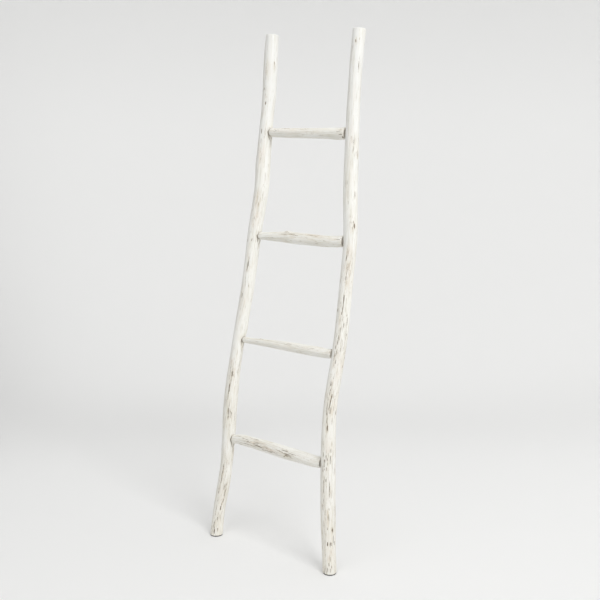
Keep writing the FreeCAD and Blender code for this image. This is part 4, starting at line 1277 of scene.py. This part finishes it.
def peg_piece():
    verts, faces, locals_ = [], [], []
    import bmesh
    bm = bmesh.new()
    layer = []
    for i, (side, p, skin) in enumerate(PEGS):
        me = grid_mesh("peg", peg_rings(p, skin, 300 + i), [0] * 30)
        q = from_scene(coords(me)) - p
        sx, sy = frame_of(AX_N)
        layer.append(np.stack([q @ sx + 0.7 * math.sin(i * 2.1), q @ sy + 0.7 * math.cos(i * 1.3), q @ AX_N + 40 * i], -1) / 1000.0)
        bm.from_mesh(me)
    bmesh.ops.recalc_face_normals(bm, faces=bm.faces)
    me = bpy.data.meshes.new("cross_pegs")
    bm.to_mesh(me)
    bm.free()
    put(me, "local", np.concatenate(layer))
    me.materials.append(PEG)
    me.polygons.foreach_set("use_smooth", np.ones(len(me.polygons), bool))
    me.set_sharp_from_angle(angle=math.radians(50))
    ob = make_object("cross_pegs", me)
    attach(ob, "root")
    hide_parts("rung_pegs")
    return ob


peg_piece()


# ------------------------------------------------------------------ foot pads
def pad_piece(name, rail, node):
    """A pad cut from sheet rubber: the foot's outline drawn in, its edges a little rounded, and
    the edge bulging under the load."""
    count = 96
    a = np.arange(count) * TAU / count
    v = np.zeros(count)
    for _ in range(8):
        p = rail.place(v, a, rail.radius(v, a))
        v = v + (PAD_THICKNESS - p[:, 2]) / AX_V[2]
    p = rail.place(v, a, rail.radius(v, a))
    mid = p.mean(axis=0)
    out = (p - mid) * PAD_SHOWN
    out[:, 2] = 0
    mid = np.array([mid[0], mid[1], 0.0])
    size = np.linalg.norm(out, axis=1)
    rim = out / size[:, None]
    wob = 0.25 * Noise(5)(np.cos(a) * 3, np.sin(a) * 3, 0.2 + rail.side)
    rings = []
    t = PAD_THICKNESS
    edge = [(0.0, -0.9), (0.10, -0.45), (0.30, -0.18), (0.7, 0.0), (1.5, 0.12), (2.3, 0.02), (2.7, -0.18), (2.9, -0.45), (3.0, -0.9)]
    for f in (0.1, 0.3, 0.5, 0.7, 0.85, 0.93):
        rings.append(mid + out * f)
    for z, e in edge:
        rings.append(mid + out + rim * (e + wob)[:, None] + np.array([0, 0, z]))
    for f in (0.93, 0.85, 0.7, 0.5, 0.3, 0.1):
        rings.append(mid + out * f + np.array([0, 0, t]))
    me = grid_mesh(name, rings, [0] * len(rings))
    put(me, "local", (from_scene(coords(me)) - mid) / 1000.0)
    me.materials.append(PAD)
    me.polygons.foreach_set("use_smooth", np.ones(len(me.polygons), bool))
    me.set_sharp_from_angle(angle=math.radians(60))
    ob = make_object(name, me)
    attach(ob, "root")
    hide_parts(node)
    return ob


pad_piece("anti_slip_pad_left", left, "left_foot_pad")
pad_piece("anti_slip_pad_right", right, "right_foot_pad")

# The construction's own nodes stay hidden behind these pieces, but carry a material each.
for node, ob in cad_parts.items():
    mat = PAD if "pad" in node else PEG if "pegs" in node else SKIN
    for s in ob.material_slots:
        s.material = mat
    if not ob.material_slots:
        ob.data.materials.append(mat)


# ------------------------------------------------------------------ stage
def backdrop():
    """Pale studio floor that curves up into a wall all round, painted darker on the side where
    the studio is dark, so that the wood has a shaded side."""
    n, flat, bend, wall = 144, 1.55, 3.0, 3.7
    prof = [(flat * k / 12, 0.0) for k in range(1, 13)]
    prof += [(flat + bend * math.sin(t), bend * (1 - math.cos(t))) for t in np.linspace(0, math.pi / 2, 40)[1:]]
    prof += [(flat + bend, bend + (wall - bend) * k / 4) for k in (1, 2, 3, 4)]
    az = np.arange(n) * TAU / n
    verts, shade = [(0.0, 0.0, 0.0)], [1.0]
    for r, z in prof:
        for t in az:
            verts.append((r * math.cos(t), r * math.sin(t), z))
            away = wrap(t - math.radians(STAGE_DARK_AT))
            side = math.exp(-(away / math.radians(STAGE_DARK_WIDE)) ** 4)
            dark = 1.0 - STAGE_DARK * side * float(smooth(1.3, 3.2, r))
            # painted shade: a soft darker band where the paper begins to rise behind the ladder, and painted shade
            # growing towards the wall's top
            u = -0.6087 * r * math.cos(t) + 0.7934 * r * math.sin(t)
            painted_fold_shade = 1.0 - 0.048 * math.exp(-((u - 1.42) / 0.42) ** 2)
            shade.append(dark * painted_fold_shade * (1.0 - 0.10 * float(smooth(1.3, 2.9, z))))
    faces = [(0, 1 + k, 1 + (k + 1) % n) for k in range(n)]
    for i in range(len(prof) - 1):
        for k in range(n):
            a, b = 1 + i * n, 1 + (i + 1) * n
            faces.append((a + k, b + k, b + (k + 1) % n, a + (k + 1) % n))
    me = bpy.data.meshes.new("studio_backdrop")
    me.from_pydata(verts, [], faces)
    me.polygons.foreach_set("use_smooth", np.ones(len(me.polygons), bool))
    at = me.attributes.new("shade", "FLOAT", "POINT")
    at.data.foreach_set("value", np.asarray(shade, np.float32))
    m, nt, bsdf = new_material("studio_paper")
    k = Nodes(nt)
    grey = k.attribute("shade").outputs["Fac"]
    k.link(k.mix(grey, (0.02, 0.02, 0.02), STAGE_COLOUR), bsdf.inputs["Base Color"])
    bsdf.inputs["Roughness"].default_value = 0.85
    bsdf.inputs["Specular IOR Level"].default_value = 0.1
    me.materials.append(m)
    make_object("studio_backdrop", me)


STAGE_COLOUR = (0.865, 0.865, 0.86)
STAGE_DARK, STAGE_DARK_AT, STAGE_DARK_WIDE = 0.66, 222.0, 50.0
backdrop()

world = bpy.data.worlds.new("studio_light")
bpy.context.scene.world = world
world.use_nodes = True
wn = world.node_tree
wn.nodes.clear()
w_out = wn.nodes.new("ShaderNodeOutputWorld")
w_bg = wn.nodes.new("ShaderNodeBackground")
w_bg.inputs["Color"].default_value = (1.0, 1.0, 0.995, 1.0)
w_bg.inputs["Strength"].default_value = 0.755
wn.links.new(w_bg.outputs[0], w_out.inputs[0])


def softbox(name, az, el, dist, size, power, aim=(0.0, 0.0, 0.8), colour=(1, 1, 1)):
    """A square light at az degrees from the front towards +X, el degrees up."""
    az, el = math.radians(az), math.radians(el)
    at = Vector(aim) + dist * Vector((math.sin(az) * math.cos(el), -math.cos(az) * math.cos(el), math.sin(el)))
    data = bpy.data.lights.new(name, "AREA")
    data.shape = "SQUARE"
    data.size = size
    data.energy = power
    data.color = colour
    ob = bpy.data.objects.new(name, data)
    bpy.context.scene.collection.objects.link(ob)
    ob.location = at
    ob.rotation_mode = "QUATERNION"
    ob.rotation_quaternion = (Vector(aim) - at).to_track_quat("-Z", "Y")
    return ob


softbox("key_softbox", 70, 45, 7.0, 3.0, 192)
softbox("fill_softbox", 0, 44, 7.0, 4.5, 66)

# ------------------------------------------------------------------ camera
AZ, EL, DIST = math.radians(37.495), math.radians(10.094), 3.2173
TX, TZ, FOCAL_PX = 0.10845, 0.91170, 950.0
back = Vector((math.sin(AZ) * math.cos(EL), -math.cos(AZ) * math.cos(EL), math.sin(EL)))
aim = Vector((TX * math.cos(AZ) + SHIFT[0] / 1000, TX * math.sin(AZ) + SHIFT[1] / 1000, TZ))
cam_data = bpy.data.cameras.new("camera")
cam_data.sensor_width = 36.0
cam_data.lens = FOCAL_PX * 36.0 / 600.0
cam_data.clip_start, cam_data.clip_end = 0.05, 100.0
cam = bpy.data.objects.new("camera", cam_data)
bpy.context.scene.collection.objects.link(cam)
cam.location = aim + back * DIST
cam.rotation_mode = "QUATERNION"
cam.rotation_quaternion = (-back).to_track_quat("-Z", "Y")
bpy.context.scene.camera = cam

bpy.context.scene.view_settings.view_transform = "Standard"
bpy.context.scene.view_settings.look = "None"
